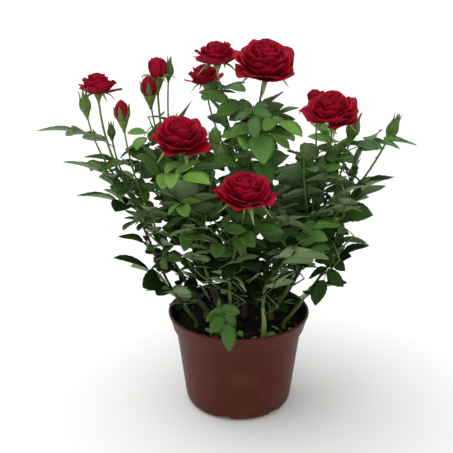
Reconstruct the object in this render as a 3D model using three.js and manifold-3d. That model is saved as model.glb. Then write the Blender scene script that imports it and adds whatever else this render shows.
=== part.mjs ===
// A potted rose bush with red double blooms, in a round terracotta-coloured nursery pot.
// Millimetres, +Z up. The origin is the middle of the pot's flat underside, and -Y faces the front.
import * as THREE from 'three';
import { mergeVertices } from 'three/addons/utils/BufferGeometryUtils.js';
import Module from 'manifold-3d';

const wasm = await Module();
wasm.setup();

// Driving dimensions of the pot.
const pot = {
  height: 84,
  rimRadius: 60,
  collarHeight: 15.5,
  collarFootRadius: 56,
  neckRadius: 53.6,
  heelRadius: 46.4,
  heelHeight: 12,
  baseRadius: 40,
  wall: 1.4,
  floor: 2.4,
  facets: 32,
  soilFacets: 24,
  drainCount: 6,
  drainWidth: 11,
  drainHeight: 4,
  drainDepth: 14,
  drainTurn: -17,
};
const soilTop = 73;
const clearance = 0.3;

// Driving dimensions of the growth.
const cane = { tipRadius: 1.5, flare: 0.45, flareLength: 5, sides: 5, stepLength: 22 };
const stem = { footRadius: 1.25, headRadius: 0.85, sides: 3, stepLength: 32 };
const leaf = {
  length: 64,
  rachisShare: 0.6,
  rachisRadius: 0.55,
  leafletShare: 0.5,
  leafletWidth: 0.8,
  thickness: 0.8,
  fold: 0.14,
  nod: 0.2,
  droop: 0.18,
  rise: 0.45,
  roll: 26,
  pairAt: 0.68,
  pairStep: 0.42,
  pairTurn: 60,
  pairSize: 0.8,
  pairFall: 0.12,
  widestAt: 0.48,
  stalkShare: 0.03,
  gap: 0.55,
  spacing: 3.2,
};
const bloom = {
  heart: 0.8,
  petals: 5,
  lobe: 0.13,
  hipRadius: 2.6,
  hipHeight: 4.6,
  calyxShare: 0.44,
  calyxDrop: 0.14,
  sepalLobe: 0.68,
  tiers: [
    [0.16, 0.02], [0.62, 0.2], [0.98, 0.52], [0.73, 0.5], [0.72, 0.82], [0.46, 0.64], [0.38, 0.95],
  ],
};
const bud = {
  facets: 5,
  profile: [[0, -0.9], [0.45, -0.7], [1, 0.5], [0.9, 1.4], [0, 2.35]],
  sepals: 3,
  sepalLength: 2.9,
  sepalWidth: 0.55,
  sepalRise: 64,
};
const twig = { length: 34, spread: 14, rise: 0.75, lift: 0.15 };
const goldenTurn = 137.5;

// The crown's outline: how far the leaves reach from its upright middle line at each height.
const crown = {
  middle: 1,
  depthShare: 0.94,
  outline: [
    [84, 62], [112, 72], [130, 88], [152, 101], [180, 106],
    [205, 122], [228, 136], [244, 120], [262, 66], [284, 44],
  ],
};

// Every cane: its foot on the soil, a point on its way, its tip, and the radius at its foot.
const canes = [
  { name: 'cane_front', foot: [-4, -22], way: [-5, -28, 88], tip: [-7, -34, 104], radius: 1.9 },
  { name: 'cane_low_front', foot: [-20, -34], way: [-20, -39, 84], tip: [-19, -43, 92], radius: 1.6 },
  { name: 'cane_front_right', foot: [20, -40], way: [20, -39, 90], tip: [19, -37, 102], radius: 2.6 },
  { name: 'cane_right', foot: [28, 2], way: [38, -1, 96], tip: [44, -3, 112], radius: 2.4 },
  { name: 'cane_far_right', foot: [35, 16], way: [46, 14, 100], tip: [58, 11, 126], radius: 2.3 },
  { name: 'cane_low_right', foot: [38, -16], way: [44, -20, 88], tip: [50, -24, 99], radius: 1.8 },
  { name: 'cane_left', foot: [-28, 4], way: [-40, 3, 98], tip: [-54, 2, 124], radius: 2.5 },
  { name: 'cane_low_left', foot: [-36, -14], way: [-41, -19, 88], tip: [-47, -24, 99], radius: 1.8 },
  { name: 'cane_left_front', foot: [-14, -12], way: [-20, -15, 100], tip: [-25, -18, 118], radius: 2.2 },
  { name: 'cane_left_back', foot: [-15, 14], way: [-24, 16, 102], tip: [-33, 17, 124], radius: 2.2 },
  { name: 'cane_centre', foot: [5, 6], way: [4, 8, 100], tip: [3, 9, 122], radius: 2.6 },
  { name: 'cane_back_right', foot: [18, 26], way: [27, 34, 98], tip: [36, 43, 116], radius: 2.2 },
  { name: 'cane_back_left', foot: [-20, 30], way: [-28, 38, 98], tip: [-37, 47, 115], radius: 2.2 },
  { name: 'cane_back', foot: [2, 36], way: [3, 46, 94], tip: [4, 57, 110], radius: 2.1 },
];

// Every mass of foliage: the cane whose tip its stem meets, where its main stem ends, and what it carries.
// A head is a bloom or a bud: its middle, width and lean from upright, and where its twig leaves the stem.
const masses = [
  {
    name: 'foliage_front', cane: 'cane_front', seed: 11, leaves: 7, twigs: 1, leafy: [0.02, 0.62],
    heads: [{ kind: 'bloom', at: [2, -85, 213], width: 46, lean: [0.08, -0.3] }],
    reach: [[12, -102, 158]],
  },
  {
    name: 'foliage_low_front', cane: 'cane_low_front', seed: 21, leaves: 7, twigs: 0, leafy: [0.1, 1],
    end: [-16, -58, 118], heads: [], reach: [[-8, -70, 79]],
  },
  {
    name: 'foliage_front_right', cane: 'cane_front_right', seed: 26, leaves: 7, twigs: 1, leafy: [0.05, 1],
    end: [42, -66, 166], heads: [], reach: [[64, -92, 172]],
  },
  {
    name: 'foliage_right', cane: 'cane_right', seed: 35, leaves: 7, twigs: 1, leafy: [0.03, 0.6],
    heads: [
      { kind: 'bloom', at: [66, -35, 262], width: 44, lean: [-0.05, -0.24] },
      { kind: 'bud', at: [60, 0, 269], width: 15, lean: [-0.05, 0], from: 0.3 },
      { kind: 'bud', at: [48, -45, 236], width: 7, lean: [0.02, -0.05], from: 0.25 },
    ],
    reach: [[96, -46, 207], [102, -50, 235]],
  },
  {
    name: 'foliage_far_right', cane: 'cane_far_right', seed: 41, leaves: 4, twigs: 0, leafy: [0.02, 0.7],
    heads: [
      { kind: 'bud', at: [125, 10, 240], width: 10, lean: [0.4, 0] },
      { kind: 'bud', at: [88, -20, 247], width: 11, lean: [0.2, -0.1], from: 0.12 },
    ],
    reach: [[123, -18, 206], [143, 0, 227], [106, 8, 232], [124, 20, 188], [108, 0, 143]],
  },
  {
    name: 'foliage_low_right', cane: 'cane_low_right', seed: 59, leaves: 8, twigs: 1, leafy: [0.05, 1],
    end: [80, -44, 158], heads: [], reach: [[104, -30, 153], [84, -52, 129], [58, -66, 116]],
  },
  {
    name: 'foliage_left', cane: 'cane_left', seed: 63, leaves: 4, twigs: 1, leafy: [0.03, 0.62],
    heads: [
      { kind: 'bloom', at: [-110, -10, 277], width: 32, lean: [-0.04, 0.14] },
      { kind: 'bud', at: [-118, -25, 266], width: 8.6, lean: [-0.1, -0.05], from: 0.2 },
      { kind: 'bud', at: [-89, -35, 264], width: 11, lean: [-0.06, -0.08], from: 0.12 },
      { kind: 'bud', at: [-104, 10, 237], width: 6, lean: [-0.08, 0.05], from: 0.16 },
    ],
    reach: [[-162, -6, 240], [-137, -30, 221], [-130, -20, 191], [-124, 20, 200]],
  },
  {
    name: 'foliage_low_left', cane: 'cane_low_left', seed: 73, leaves: 7, twigs: 1, leafy: [0.05, 1],
    end: [-78, -44, 180], heads: [], reach: [[-99, -46, 148], [-63, -70, 127]],
  },
  {
    name: 'foliage_left_front', cane: 'cane_left_front', seed: 83, leaves: 7, twigs: 1, leafy: [0.02, 0.6],
    heads: [
      { kind: 'bloom', at: [-44, -55, 246], width: 43, lean: [0.05, -0.42] },
      { kind: 'bud', at: [-19, -40, 241], width: 9, lean: [0.02, -0.05], from: 0.15 },
    ],
    reach: [[-44, -70, 218]],
  },
  {
    name: 'foliage_left_back', cane: 'cane_left_back', seed: 97, leaves: 6, twigs: 1, leafy: [0.02, 0.66],
    heads: [
      { kind: 'bud', at: [-66, 15, 285], width: 15, lean: [0, 0] },
      { kind: 'bud', at: [-71, -5, 274], width: 12, lean: [-0.05, -0.08], from: 0.34 },
      { kind: 'bud', at: [-57, 25, 282], width: 7.5, lean: [0.08, 0], from: 0.38 },
    ],
    reach: [[-38, 10, 262]],
  },
  {
    name: 'foliage_top', cane: 'cane_centre', seed: 103, leaves: 7, twigs: 2, leafy: [0.02, 0.72],
    heads: [
      { kind: 'bloom', at: [18, -15, 295], width: 45, lean: [0.1, -0.26] },
      { kind: 'bloom', at: [-18, 5, 301], width: 38, lean: [-0.05, -0.04], from: 0.36 },
      { kind: 'bloom', at: [-28, 35, 277], width: 34, lean: [-0.08, 0.05], from: 0.3 },
      { kind: 'bud', at: [6, 22, 243], width: 8, lean: [0.5, 0], from: 0.34 },
    ],
    reach: [[34, 4, 272], [-8, 12, 272]],
  },
  {
    name: 'foliage_back_right', cane: 'cane_back_right', seed: 119, leaves: 6, twigs: 1, leafy: [0.04, 0.8],
    heads: [
      { kind: 'bloom', at: [62, 94, 178], width: 40, lean: [0.15, 0.6] },
      { kind: 'bud', at: [92, 68, 178], width: 10, lean: [0.25, 0.2], from: 0.4 },
    ],
    reach: [[66, 120, 148], [99, 80, 142], [59, 100, 111]],
  },
  {
    name: 'foliage_back_left', cane: 'cane_back_left', seed: 127, leaves: 5, twigs: 1, leafy: [0.04, 0.8],
    heads: [
      { kind: 'bloom', at: [-54, 92, 180], width: 38, lean: [-0.1, 0.6] },
      { kind: 'bud', at: [-90, 60, 178], width: 10, lean: [-0.2, 0.15], from: 0.35 },
    ],
    reach: [[-70, 112, 148]],
  },
  {
    name: 'foliage_back', cane: 'cane_back', seed: 131, leaves: 6, twigs: 1, leafy: [0.05, 1],
    end: [4, 104, 182], heads: [], reach: [[6, 140, 176], [-24, 116, 140]],
  },
];

const up = new THREE.Vector3(0, 0, 1);
const vector = (xyz) => new THREE.Vector3(...xyz);
const radians = THREE.MathUtils.degToRad;

// A repeatable run of numbers from 0 to 1.
function seeded(seed) {
  let state = seed >>> 0;
  return () => {
    state = (state + 0x6d2b79f5) >>> 0;
    let mixed = Math.imul(state ^ (state >>> 15), state | 1);
    mixed ^= mixed + Math.imul(mixed ^ (mixed >>> 7), mixed | 61);
    return ((mixed ^ (mixed >>> 14)) >>> 0) / 4294967296;
  };
}

// Joining and cutting.
const weldDistance = 1e-3;
const skinTolerance = 0.1;
const skinPasses = 6;

function solidFrom(geometry) {
  const plain = geometry.clone();
  plain.deleteAttribute('normal');
  plain.deleteAttribute('uv');
  const merged = mergeVertices(plain, weldDistance);
  return new wasm.Manifold(new wasm.Mesh({
    numProp: 3,
    vertProperties: new Float32Array(merged.attributes.position.array),
    triVerts: new Uint32Array(merged.index.array),
  }));
}

function geometryFrom(solid) {
  const mesh = solid.getMesh();
  const geometry = new THREE.BufferGeometry();
  geometry.setAttribute('position', new THREE.BufferAttribute(new Float32Array(mesh.vertProperties), 3));
  geometry.setIndex(new THREE.BufferAttribute(new Uint32Array(mesh.triVerts), 1));
  const flat = geometry.toNonIndexed();
  flat.computeVertexNormals();
  return flat;
}

const fuse = (geometries) => geometries.map(solidFrom).reduce((joined, solid) => joined.add(solid));

const largest = (bodies) => bodies.sort((a, b) => b.volume() - a.volume())[0];

// Whether every edge is shared by just two faces once close corners are one and collapsed faces are gone.
function edgesPair(geometry) {
  const { position } = geometry.attributes;
  const cornerAt = (i) => (
    [position.getX(i), position.getY(i), position.getZ(i)].map((v) => v.toFixed(4)).join()
  );
  const uses = new Map();
  for (let i = 0; i < position.count; i += 3) {
    const corners = [cornerAt(i), cornerAt(i + 1), cornerAt(i + 2)];
    if (new Set(corners).size < 3) continue;
    corners.forEach((corner, k) => {
      const edge = [corner, corners[(k + 1) % 3]].sort().join(' ');
      uses.set(edge, (uses.get(edge) ?? 0) + 1);
    });
  }
  return [...uses.values()].every((count) => count === 2);
}

// The largest closed skin of a solid: its slivers, sealed hollows and loose scraps are gone.
function skinOf(solid) {
  let geometry = geometryFrom(largest(solid.decompose()).simplify(skinTolerance));
  for (let pass = 0; pass < skinPasses; pass++) {
    const bodies = solidFrom(geometry).decompose();
    if (bodies.length === 1) break;
    geometry = geometryFrom(largest(bodies));
  }
  return edgesPair(geometry) ? geometry : null;
}

// A closed tapering limb: a cylinder whose rings are laid along a curve.
function limb(curve, radiusAt, sides, steps) {
  const geometry = new THREE.CylinderGeometry(1, 1, 1, sides, steps);
  const frames = curve.computeFrenetFrames(steps, false);
  const position = geometry.attributes.position;
  const ring = new THREE.Vector3();
  for (let i = 0; i < position.count; i++) {
    const along = position.getY(i) + 0.5;
    const step = Math.round(along * steps);
    const radius = radiusAt(along);
    ring.copy(curve.getPointAt(along));
    ring.addScaledVector(frames.normals[step], position.getX(i) * radius);
    ring.addScaledVector(frames.binormals[step], -position.getZ(i) * radius);
    position.setXYZ(i, ring.x, ring.y, ring.z);
  }
  return geometry;
}

// Pot and soil.
function potProfile() {
  const outer = [
    [0, 0], [pot.baseRadius, 0], [pot.baseRadius + 3.4, 1.4], [pot.heelRadius - 1, 5],
    [pot.heelRadius, pot.heelHeight], [pot.neckRadius, pot.height - pot.collarHeight],
    [pot.collarFootRadius, pot.height - pot.collarHeight + 1],
    [pot.rimRadius - 0.9, pot.height - 3], [pot.rimRadius, pot.height - 2.2], [pot.rimRadius, pot.height],
  ];
  const inner = [
    [pot.rimRadius - pot.wall - 0.4, pot.height],
    [pot.collarFootRadius - pot.wall, pot.height - pot.collarHeight + 2],
    [pot.neckRadius - pot.wall, pot.height - pot.collarHeight],
    [pot.heelRadius - pot.wall, pot.heelHeight],
    [pot.baseRadius, pot.floor], [0, pot.floor],
  ];
  return [...outer, ...inner].map(([r, z]) => new THREE.Vector2(r, z));
}

// A lathe turned about +Z in place of +Y.
const turned = (points, facets) => new THREE.LatheGeometry(points, facets).rotateX(Math.PI / 2);

function potGeometry() {
  let body = solidFrom(turned(potProfile(), pot.facets));
  for (let i = 0; i < pot.drainCount; i++) {
    const slot = new THREE.BoxGeometry(pot.drainWidth, pot.drainDepth, pot.drainHeight * 2);
    slot.translate(0, -pot.heelRadius + 2.4, 0).rotateZ(radians((360 / pot.drainCount) * i + pot.drainTurn));
    body = body.subtract(solidFrom(slot));
  }
  return skinOf(body);
}

function soilGeometry() {
  const slope = (pot.neckRadius - pot.heelRadius) / (pot.height - pot.collarHeight - pot.heelHeight);
  const wallAt = (z) => pot.heelRadius - pot.wall + slope * (z - pot.heelHeight) - 2 * clearance;
  const profile = [
    [0, pot.floor], [pot.baseRadius - 3, pot.floor],
    [wallAt(pot.heelHeight) - 2, pot.heelHeight + 1], [wallAt(soilTop) - 1, soilTop - 5],
    [wallAt(soilTop), soilTop], [0, soilTop],
  ];
  return turned(profile.map(([r, z]) => new THREE.Vector2(r, z)), pot.soilFacets);
}

// Canes.
function caneCurve({ foot, way, tip }) {
  const start = vector([...foot, soilTop]);
  const knee = start.clone().lerp(vector([foot[0], foot[1], way[2]]), 0.3);
  return new THREE.CatmullRomCurve3([start, knee, vector(way), vector(tip)]);
}

function caneRadius(length, footRadius) {
  return (along) => {
    const flare = 1 + cane.flare * Math.exp((-along * length) / cane.flareLength);
    return THREE.MathUtils.lerp(footRadius, cane.tipRadius, along) * flare;
  };
}

function caneGeometry(curve, radiusAt) {
  const steps = Math.max(3, Math.round(curve.getLength() / cane.stepLength));
  const geometry = limb(curve, radiusAt, cane.sides, steps);
  const position = geometry.attributes.position;
  for (let i = 0; i < position.count; i++) {
    if (position.getZ(i) < soilTop + 1.5) position.setZ(i, soilTop);
  }
  return geometry;
}

// Space: what stands where, as runs of spheres along the limbs and a sphere round every head.
function spheresAlong(curve, radiusAt, gap = 2.5) {
  const count = Math.max(4, Math.round(curve.getLength() / gap));
  return Array.from({ length: count + 1 }, (_, i) => {
    const along = i / count;
    return { at: curve.getPointAt(along), radius: radiusAt(along) };
  });
}

const caneSpheres = [];
const headSpheres = [];

function nearest(point, spheres) {
  let least = Infinity;
  for (const sphere of spheres) {
    const distance = sphere.at.distanceTo(point) - sphere.radius;
    if (distance < least) least = distance;
  }
  return least;
}

function inPotOrSoil(point) {
  const out = Math.hypot(point.x, point.y);
  const overSoil = point.z > soilTop + 1.5 && out < pot.collarFootRadius - pot.wall - 1;
  const overRim = point.z > pot.height + 1;
  const outsideRim = out > pot.rimRadius + 1;
  return !(overSoil || overRim || outsideRim);
}

function crownRadius(height) {
  const { outline } = crown;
  const next = outline.findIndex(([z]) => z > height);
  if (next <= 0) return next === 0 ? outline[0][1] : 0;
  const [[lowZ, lowR], [highZ, highR]] = [outline[next - 1], outline[next]];
  return THREE.MathUtils.mapLinear(height, lowZ, highZ, lowR, highR);
}

const inCrown = ({ x, y, z }) => Math.hypot(x - crown.middle, y / crown.depthShare) < crownRadius(z);

// A mass keeps to the space that lies nearer to the leafy part of its own stem than to any other's.
function clearOf(points, mass) {
  return points.every((point) => {
    if (inPotOrSoil(point)) return false;
    if (nearest(point, caneSpheres) < leaf.gap) return false;
    if (nearest(point, headSpheres) < leaf.gap) return false;
    if (nearest(point, mass.othersStems) < leaf.gap) return false;
    const own = nearest(point, mass.guides);
    return masses.every((other) => other === mass || nearest(point, other.guides) > own + 2 * leaf.gap);
  });
}

// Stems of a mass.
function headFrame(head) {
  const axis = vector([...head.lean, 1]).normalize();
  const radius = head.width / 2;
  const drop = head.kind === 'bloom' ? radius * 0.42 : radius * 1.1;
  const neck = vector(head.at).addScaledVector(axis, -drop);
  return { axis, radius, neck };
}

function stemCurve(from, heading, to, arriving) {
  const reach = from.distanceTo(to);
  return new THREE.CubicBezierCurve3(
    from,
    from.clone().addScaledVector(heading, reach * 0.36),
    to.clone().addScaledVector(arriving, -reach * 0.36),
    to,
  );
}

const stemSteps = (curve) => Math.max(2, Math.round(curve.getLength() / stem.stepLength));

// A point in the middle of a stem, which runs straight from each of its rings to the next.
function onStem(curve, along) {
  const steps = stemSteps(curve);
  const ring = Math.min(Math.floor(along * steps), steps - 1);
  return curve.getPointAt(ring / steps).lerp(curve.getPointAt((ring + 1) / steps), along * steps - ring);
}

const stemRadius = (foot, tip) => (along) => THREE.MathUtils.lerp(foot, tip, along);

function growStems(mass) {
  const { curve } = mass.limb;
  const heading = curve.getTangentAt(1);
  const start = curve.getPointAt(1).addScaledVector(heading, clearance);
  const [first, ...others] = mass.heads.map((head) => ({ ...head, ...headFrame(head) }));
  const end = first ? first.neck : vector(mass.end);
  const arriving = first ? first.axis : end.clone().sub(start).normalize();
  const footRadius = first ? stem.footRadius : stem.footRadius * 0.9;
  mass.main = {
    curve: stemCurve(start, heading, end, arriving),
    radiusAt: stemRadius(footRadius, stem.headRadius),
  };
  mass.stems = [mass.main];
  for (const head of others) {
    const from = onStem(mass.main.curve, head.from);
    const away = head.neck.clone().sub(from).normalize().lerp(mass.main.curve.getTangentAt(head.from), 0.35);
    mass.stems.push({
      curve: stemCurve(from, away.normalize(), head.neck, head.axis),
      radiusAt: stemRadius(stem.headRadius * 1.1, stem.headRadius * (head.kind === 'bud' ? 0.8 : 1)),
    });
  }
  mass.grown = [first, ...others].filter(Boolean);
  mass.stemSpheres = mass.stems.flatMap(({ curve: line, radiusAt }) => spheresAlong(line, radiusAt, 2));
  const leafyCount = Math.ceil((mass.leafy[1] * mass.main.curve.getLength()) / 5);
  mass.guides = Array.from({ length: leafyCount + 1 }, (_, i) => (
    { at: mass.main.curve.getPointAt((mass.leafy[1] * i) / leafyCount), radius: 0 }
  ));
}

// A sepal of eight faces, from its root at the origin to its tip along +X.
function sepalGeometry(length, width) {
  const geometry = new THREE.OctahedronGeometry(1);
  const position = geometry.attributes.position;
  for (let i = 0; i < position.count; i++) {
    const [x, y, z] = [position.getX(i), position.getY(i), position.getZ(i)];
    const along = x === 0 ? 0.35 : (x + 1) / 2;
    const nod = along * along * leaf.nod * length;
    position.setXYZ(i, along * length, (y * width) / 2, (z * leaf.thickness) / 2 - nod);
  }
  return geometry;
}

// The pinnate leaf's own rule: a drooping rachis, one leaflet at its end and pairs along it.
function leafPlan(root, heading, length, pairs, roll) {
  const rachisLength = length * leaf.rachisShare;
  const at = (share) => root.clone().addScaledVector(heading, share * rachisLength)
    .addScaledVector(up, -leaf.droop * share * share * rachisLength);
  const frameAt = (share) => {
    const along = at(share + 0.02).sub(at(share - 0.02)).normalize();
    const side = new THREE.Vector3().crossVectors(up, along).normalize().applyAxisAngle(along, roll);
    return { along, side, face: new THREE.Vector3().crossVectors(along, side) };
  };
  const leaflets = [];
  const place = (share, turn, size) => {
    const { along, face } = frameAt(share);
    const aim = along.clone().applyAxisAngle(face, turn);
    const across = new THREE.Vector3().crossVectors(face, aim);
    const origin = at(share).addScaledVector(aim, leaf.rachisRadius);
    const matrix = new THREE.Matrix4().makeBasis(aim, across, face).setPosition(origin);
    const leafletLength = length * leaf.leafletShare * size;
    leaflets.push({ share, turn, matrix, length: leafletLength, width: leafletLength * leaf.leafletWidth });
  };
  place(1, 0, 1);
  for (let pair = 0; pair < pairs; pair++) {
    for (const turn of [leaf.pairTurn, -leaf.pairTurn]) {
      place(leaf.pairAt - leaf.pairStep * pair, radians(turn), leaf.pairSize - leaf.pairFall * pair);
    }
  }
  return { at, frameAt, leaflets };
}

// A point of a leaflet: how far along its length, and how far across from its midrib to its edge.
function onLeaflet({ matrix, length, width }, along, across) {
  const lift = Math.abs(across) * leaf.fold * width - along * along * leaf.nod * length;
  return new THREE.Vector3(along * length, (across * width) / 2, lift).applyMatrix4(matrix);
}

// Points that stand for a leaf in the tests of space.
const leafletPoints = ({ leaflets }) => leaflets.flatMap((leaflet) => [
  [0.2, 0], [0.5, 0], [0.75, 0], [1, 0], [leaf.widestAt, 1], [leaf.widestAt, -1],
  [0.25, 0.55], [0.25, -0.55], [0.74, 0.5], [0.74, -0.5],
].map(([along, across]) => onLeaflet(leaflet, along, across)));

const leafPoints = (plan) => [...[0.25, 0.45, 0.7, 0.9].map(plan.at), ...leafletPoints(plan)];

// One leaf as one thin solid. Its outline is drawn flat, with slim leaflets, for the faces alone:
// each corner is then carried to its own place on the bent leaf.
const drawn = { rachis: 100, leaflet: 30, halfWidth: 3 };
function leafGeometry({ at, frameAt, leaflets }, swell) {
  const corners = [];
  const rachis = (share, hand) => {
    const { side, face } = frameAt(share);
    const place = at(share).addScaledVector(side, hand * leaf.rachisRadius);
    corners.push({ flat: new THREE.Vector2(share * drawn.rachis, hand), place, face });
  };
  const blade = (leaflet) => {
    const face = new THREE.Vector3().setFromMatrixColumn(leaflet.matrix, 2);
    const [ahead, off] = [Math.cos(leaflet.turn), Math.sin(leaflet.turn)];
    for (const [along, across] of [[leaf.widestAt, -1], [1, 0], [leaf.widestAt, 1]]) {
      const [u, v] = [along * drawn.leaflet, across * drawn.halfWidth];
      const flat = new THREE.Vector2(leaflet.share * drawn.rachis + u * ahead - v * off, u * off + v * ahead);
      corners.push({ flat, place: onLeaflet(leaflet, along, across), face });
    }
  };
  // Up one side of the rachis and down the other, with a corner below, between and above the leaflets.
  const sideOf = (hand) => leaflets.filter(({ turn }) => Math.sign(turn) === hand);
  const upSide = sideOf(-1).sort((a, b) => a.share - b.share);
  const downSide = sideOf(1).sort((a, b) => b.share - a.share);
  const shares = upSide.map(({ share }) => share);
  const stalks = [shares[0] - leaf.stalkShare, ...shares.slice(1).map((share, i) => (share + shares[i]) / 2)];
  stalks.push(shares.at(-1) + leaf.stalkShare);
  rachis(0, -1);
  upSide.forEach((leaflet, i) => {
    rachis(stalks[i], -1);
    blade(leaflet);
  });
  rachis(stalks.at(-1), -1);
  blade(leaflets[0]);
  rachis(stalks.at(-1), 1);
  downSide.forEach((leaflet, i) => {
    blade(leaflet);
    rachis(stalks.at(-2 - i), 1);
  });
  rachis(0, 1);
  const outline = new THREE.Shape(corners.map(({ flat }) => flat));
  const geometry = new THREE.ExtrudeGeometry(outline, { depth: 1, bevelEnabled: false });
  const position = geometry.attributes.position;
  for (let i = 0; i < position.count; i++) {
    const flat = new THREE.Vector2(position.getX(i), position.getY(i));
    const corner = corners.find((one) => one.flat.distanceTo(flat) < 1e-3);
    const lift = (position.getZ(i) - 0.5) * leaf.thickness * swell;
    const moved = corner.place.clone().addScaledVector(corner.face, lift);
    position.setXYZ(i, moved.x, moved.y, moved.z);
  }
  return geometry;
}

// A leaf that would leave the mass's space or touch a limb turns, rises or shrinks, and is otherwise skipped.
const tries = {
  sizes: [1, 0.85, 0.7, 0.58],
  onePair: 0.7,
  lifts: [0, 0.5, 1.1],
  turns: [0, 30, -30, 60, -60, 90, -90, 120, -120],
};
function growLeaf(mass, root, azimuth, rise, length, roll) {
  for (const size of tries.sizes) {
    for (const lift of tries.lifts) {
      for (const turn of tries.turns) {
        const angle = radians(azimuth + turn);
        const heading = new THREE.Vector3(Math.cos(angle), Math.sin(angle), rise + lift).normalize();
        const plan = leafPlan(root, heading, length * size, size < tries.onePair ? 1 : 2, roll);
        const points = leafPoints(plan);
        if (points.every(inCrown) && clearOf(points, mass) && apartInMass(plan, mass)) return plan;
      }
    }
  }
  return null;
}

// The leaflets of one mass keep apart from each other and from its stems, so that each shows once fused.
function apartInMass(plan, mass) {
  const points = leafletPoints(plan);
  if (points.some((point) => nearest(point, mass.stemSpheres) < leaf.gap)) return false;
  return mass.leafPoints.every((other) => points.every((point) => other.distanceTo(point) > leaf.spacing));
}

function keepLeaf(mass, plan) {
  mass.plans.push(plan);
  mass.leafPoints.push(...leafletPoints(plan));
}

// A leaf whose end leaflet's tip comes to a given point: what it misses by corrects its heading and length.
function leafTowards(root, tip, pairs) {
  const aim = tip.clone();
  let plan;
  for (let pass = 0; pass < 5; pass++) {
    const heading = aim.clone().sub(root);
    const length = heading.length() / (leaf.rachisShare + leaf.leafletShare);
    plan = leafPlan(root, heading.normalize(), length, pairs, 0);
    aim.add(tip).sub(onLeaflet(plan.leaflets[0], 1, 0));
  }
  return plan;
}

// The crown's furthest points: each is reached by a leaf of its mass, from the best root that is clear.
function reachingLeaf(mass, target) {
  const tip = vector(target);
  const roots = [];
  for (const { curve } of mass.stems) {
    for (let along = 0.02; along <= 0.9; along += 0.04) {
      const root = onStem(curve, along);
      const distance = root.distanceTo(tip);
      const miss = Math.abs(distance - leaf.length) + Math.max(0, root.z - tip.z) * 0.2;
      if (distance > leaf.length * 0.6 && distance < leaf.length * 1.3) roots.push({ root, miss });
    }
  }
  roots.sort((a, b) => a.miss - b.miss);
  for (const pairs of [2, 1]) {
    for (const { root } of roots) {
      const plan = leafTowards(root, tip, pairs);
      if (clearOf(leafPoints(plan), mass) && apartInMass(plan, mass)) return plan;
    }
  }
  return null;
}

function growTwigs(mass, random) {
  const { curve } = mass.main;
  const base = random() * 360;
  for (let i = 0; i < mass.twigs; i++) {
    const along = THREE.MathUtils.lerp(0.12, mass.leafy[1] * 0.8, i / Math.max(1, mass.twigs - 1));
    const from = onStem(curve, along);
    for (const turn of [0, 45, -45, 90, -90, 135, -135, 180]) {
      const angle = radians(base + i * goldenTurn + turn);
      const reach = twig.length + twig.spread * random();
      const heading = new THREE.Vector3(Math.cos(angle), Math.sin(angle), twig.rise).normalize();
      const end = from.clone().addScaledVector(heading, reach).addScaledVector(up, reach * twig.lift);
      const made = { curve: stemCurve(from, heading, end, up.clone().lerp(heading, 0.6).normalize()) };
      made.radiusAt = stemRadius(stem.headRadius, stem.headRadius * 0.7);
      const points = [0.3, 0.5, 0.7, 0.85, 1].map((share) => made.curve.getPointAt(share));
      if (clearOf(points, mass)) {
        mass.stems.push(made);
        mass.twigStems.push(made);
        break;
      }
    }
  }
}

function growLeaves(mass) {
  const random = seeded(mass.seed);
  mass.plans = [];
  mass.leafPoints = [];
  mass.twigStems = [];
  for (const target of mass.reach) {
    const plan = reachingLeaf(mass, target);
    if (plan) keepLeaf(mass, plan);
  }
  growTwigs(mass, random);
  let azimuth = random() * 360;
  const nodes = [];
  for (let i = 0; i < mass.leaves; i++) {
    const along = THREE.MathUtils.lerp(...mass.leafy, (i + 0.5) / mass.leaves);
    nodes.push({ curve: mass.main.curve, along });
  }
  for (const { curve } of mass.twigStems) {
    for (const along of [0.5, 0.96]) nodes.push({ curve, along });
  }
  for (const { curve, along } of nodes) {
    azimuth += goldenTurn + 16 * (random() - 0.5);
    const rise = leaf.rise * (0.6 + 0.8 * random());
    const length = leaf.length * (0.84 + 0.3 * random());
    const roll = radians(leaf.roll) * (2 * random() - 1);
    const plan = growLeaf(mass, onStem(curve, along), azimuth, rise, length, roll);
    if (plan) keepLeaf(mass, plan);
  }
}

// The bloom: its hip, its calyx, then tiers of petals, one inside another. It is one lathe whose rims
// stand in lobes: long ones where the calyx parts into sepals, short ones where the petals do.
function corollaGeometry(radius) {
  const { hipRadius, hipHeight, petals, lobe, calyxShare, calyxDrop, sepalLobe } = bloom;
  const hip = [[0, -hipHeight], [hipRadius, -hipHeight * 0.75]];
  const calyx = [[calyxShare, -calyxDrop], [calyxShare, leaf.thickness / radius - calyxDrop]];
  const tiers = [...bloom.tiers, [0, bloom.heart]];
  const profile = [...hip, ...[...calyx, ...tiers].map(([r, z]) => [r * radius, z * radius])];
  const geometry = turned(profile.map(([r, z]) => new THREE.Vector2(r, z)), 2 * petals);
  const position = geometry.attributes.position;
  for (let i = 0; i < position.count; i++) {
    const [x, y, z] = [position.getX(i), position.getY(i), position.getZ(i)];
    const wave = Math.cos(petals * Math.atan2(y, x));
    let swell = 0;
    if (z > 0.1 * radius) swell = z > 0.55 * radius ? -lobe * wave : lobe * wave;
    else if (Math.hypot(x, y) > hipRadius * 1.2) swell = -sepalLobe * wave;
    position.setXYZ(i, x * (1 + swell), y * (1 + swell), z);
  }
  return geometry;
}

function posed(pieces, { neck, axis }) {
  const turn = new THREE.Quaternion().setFromUnitVectors(up, axis);
  const pose = new THREE.Matrix4().compose(neck, turn, new THREE.Vector3(1, 1, 1));
  return pieces.map((piece) => piece.applyMatrix4(pose));
}

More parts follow.
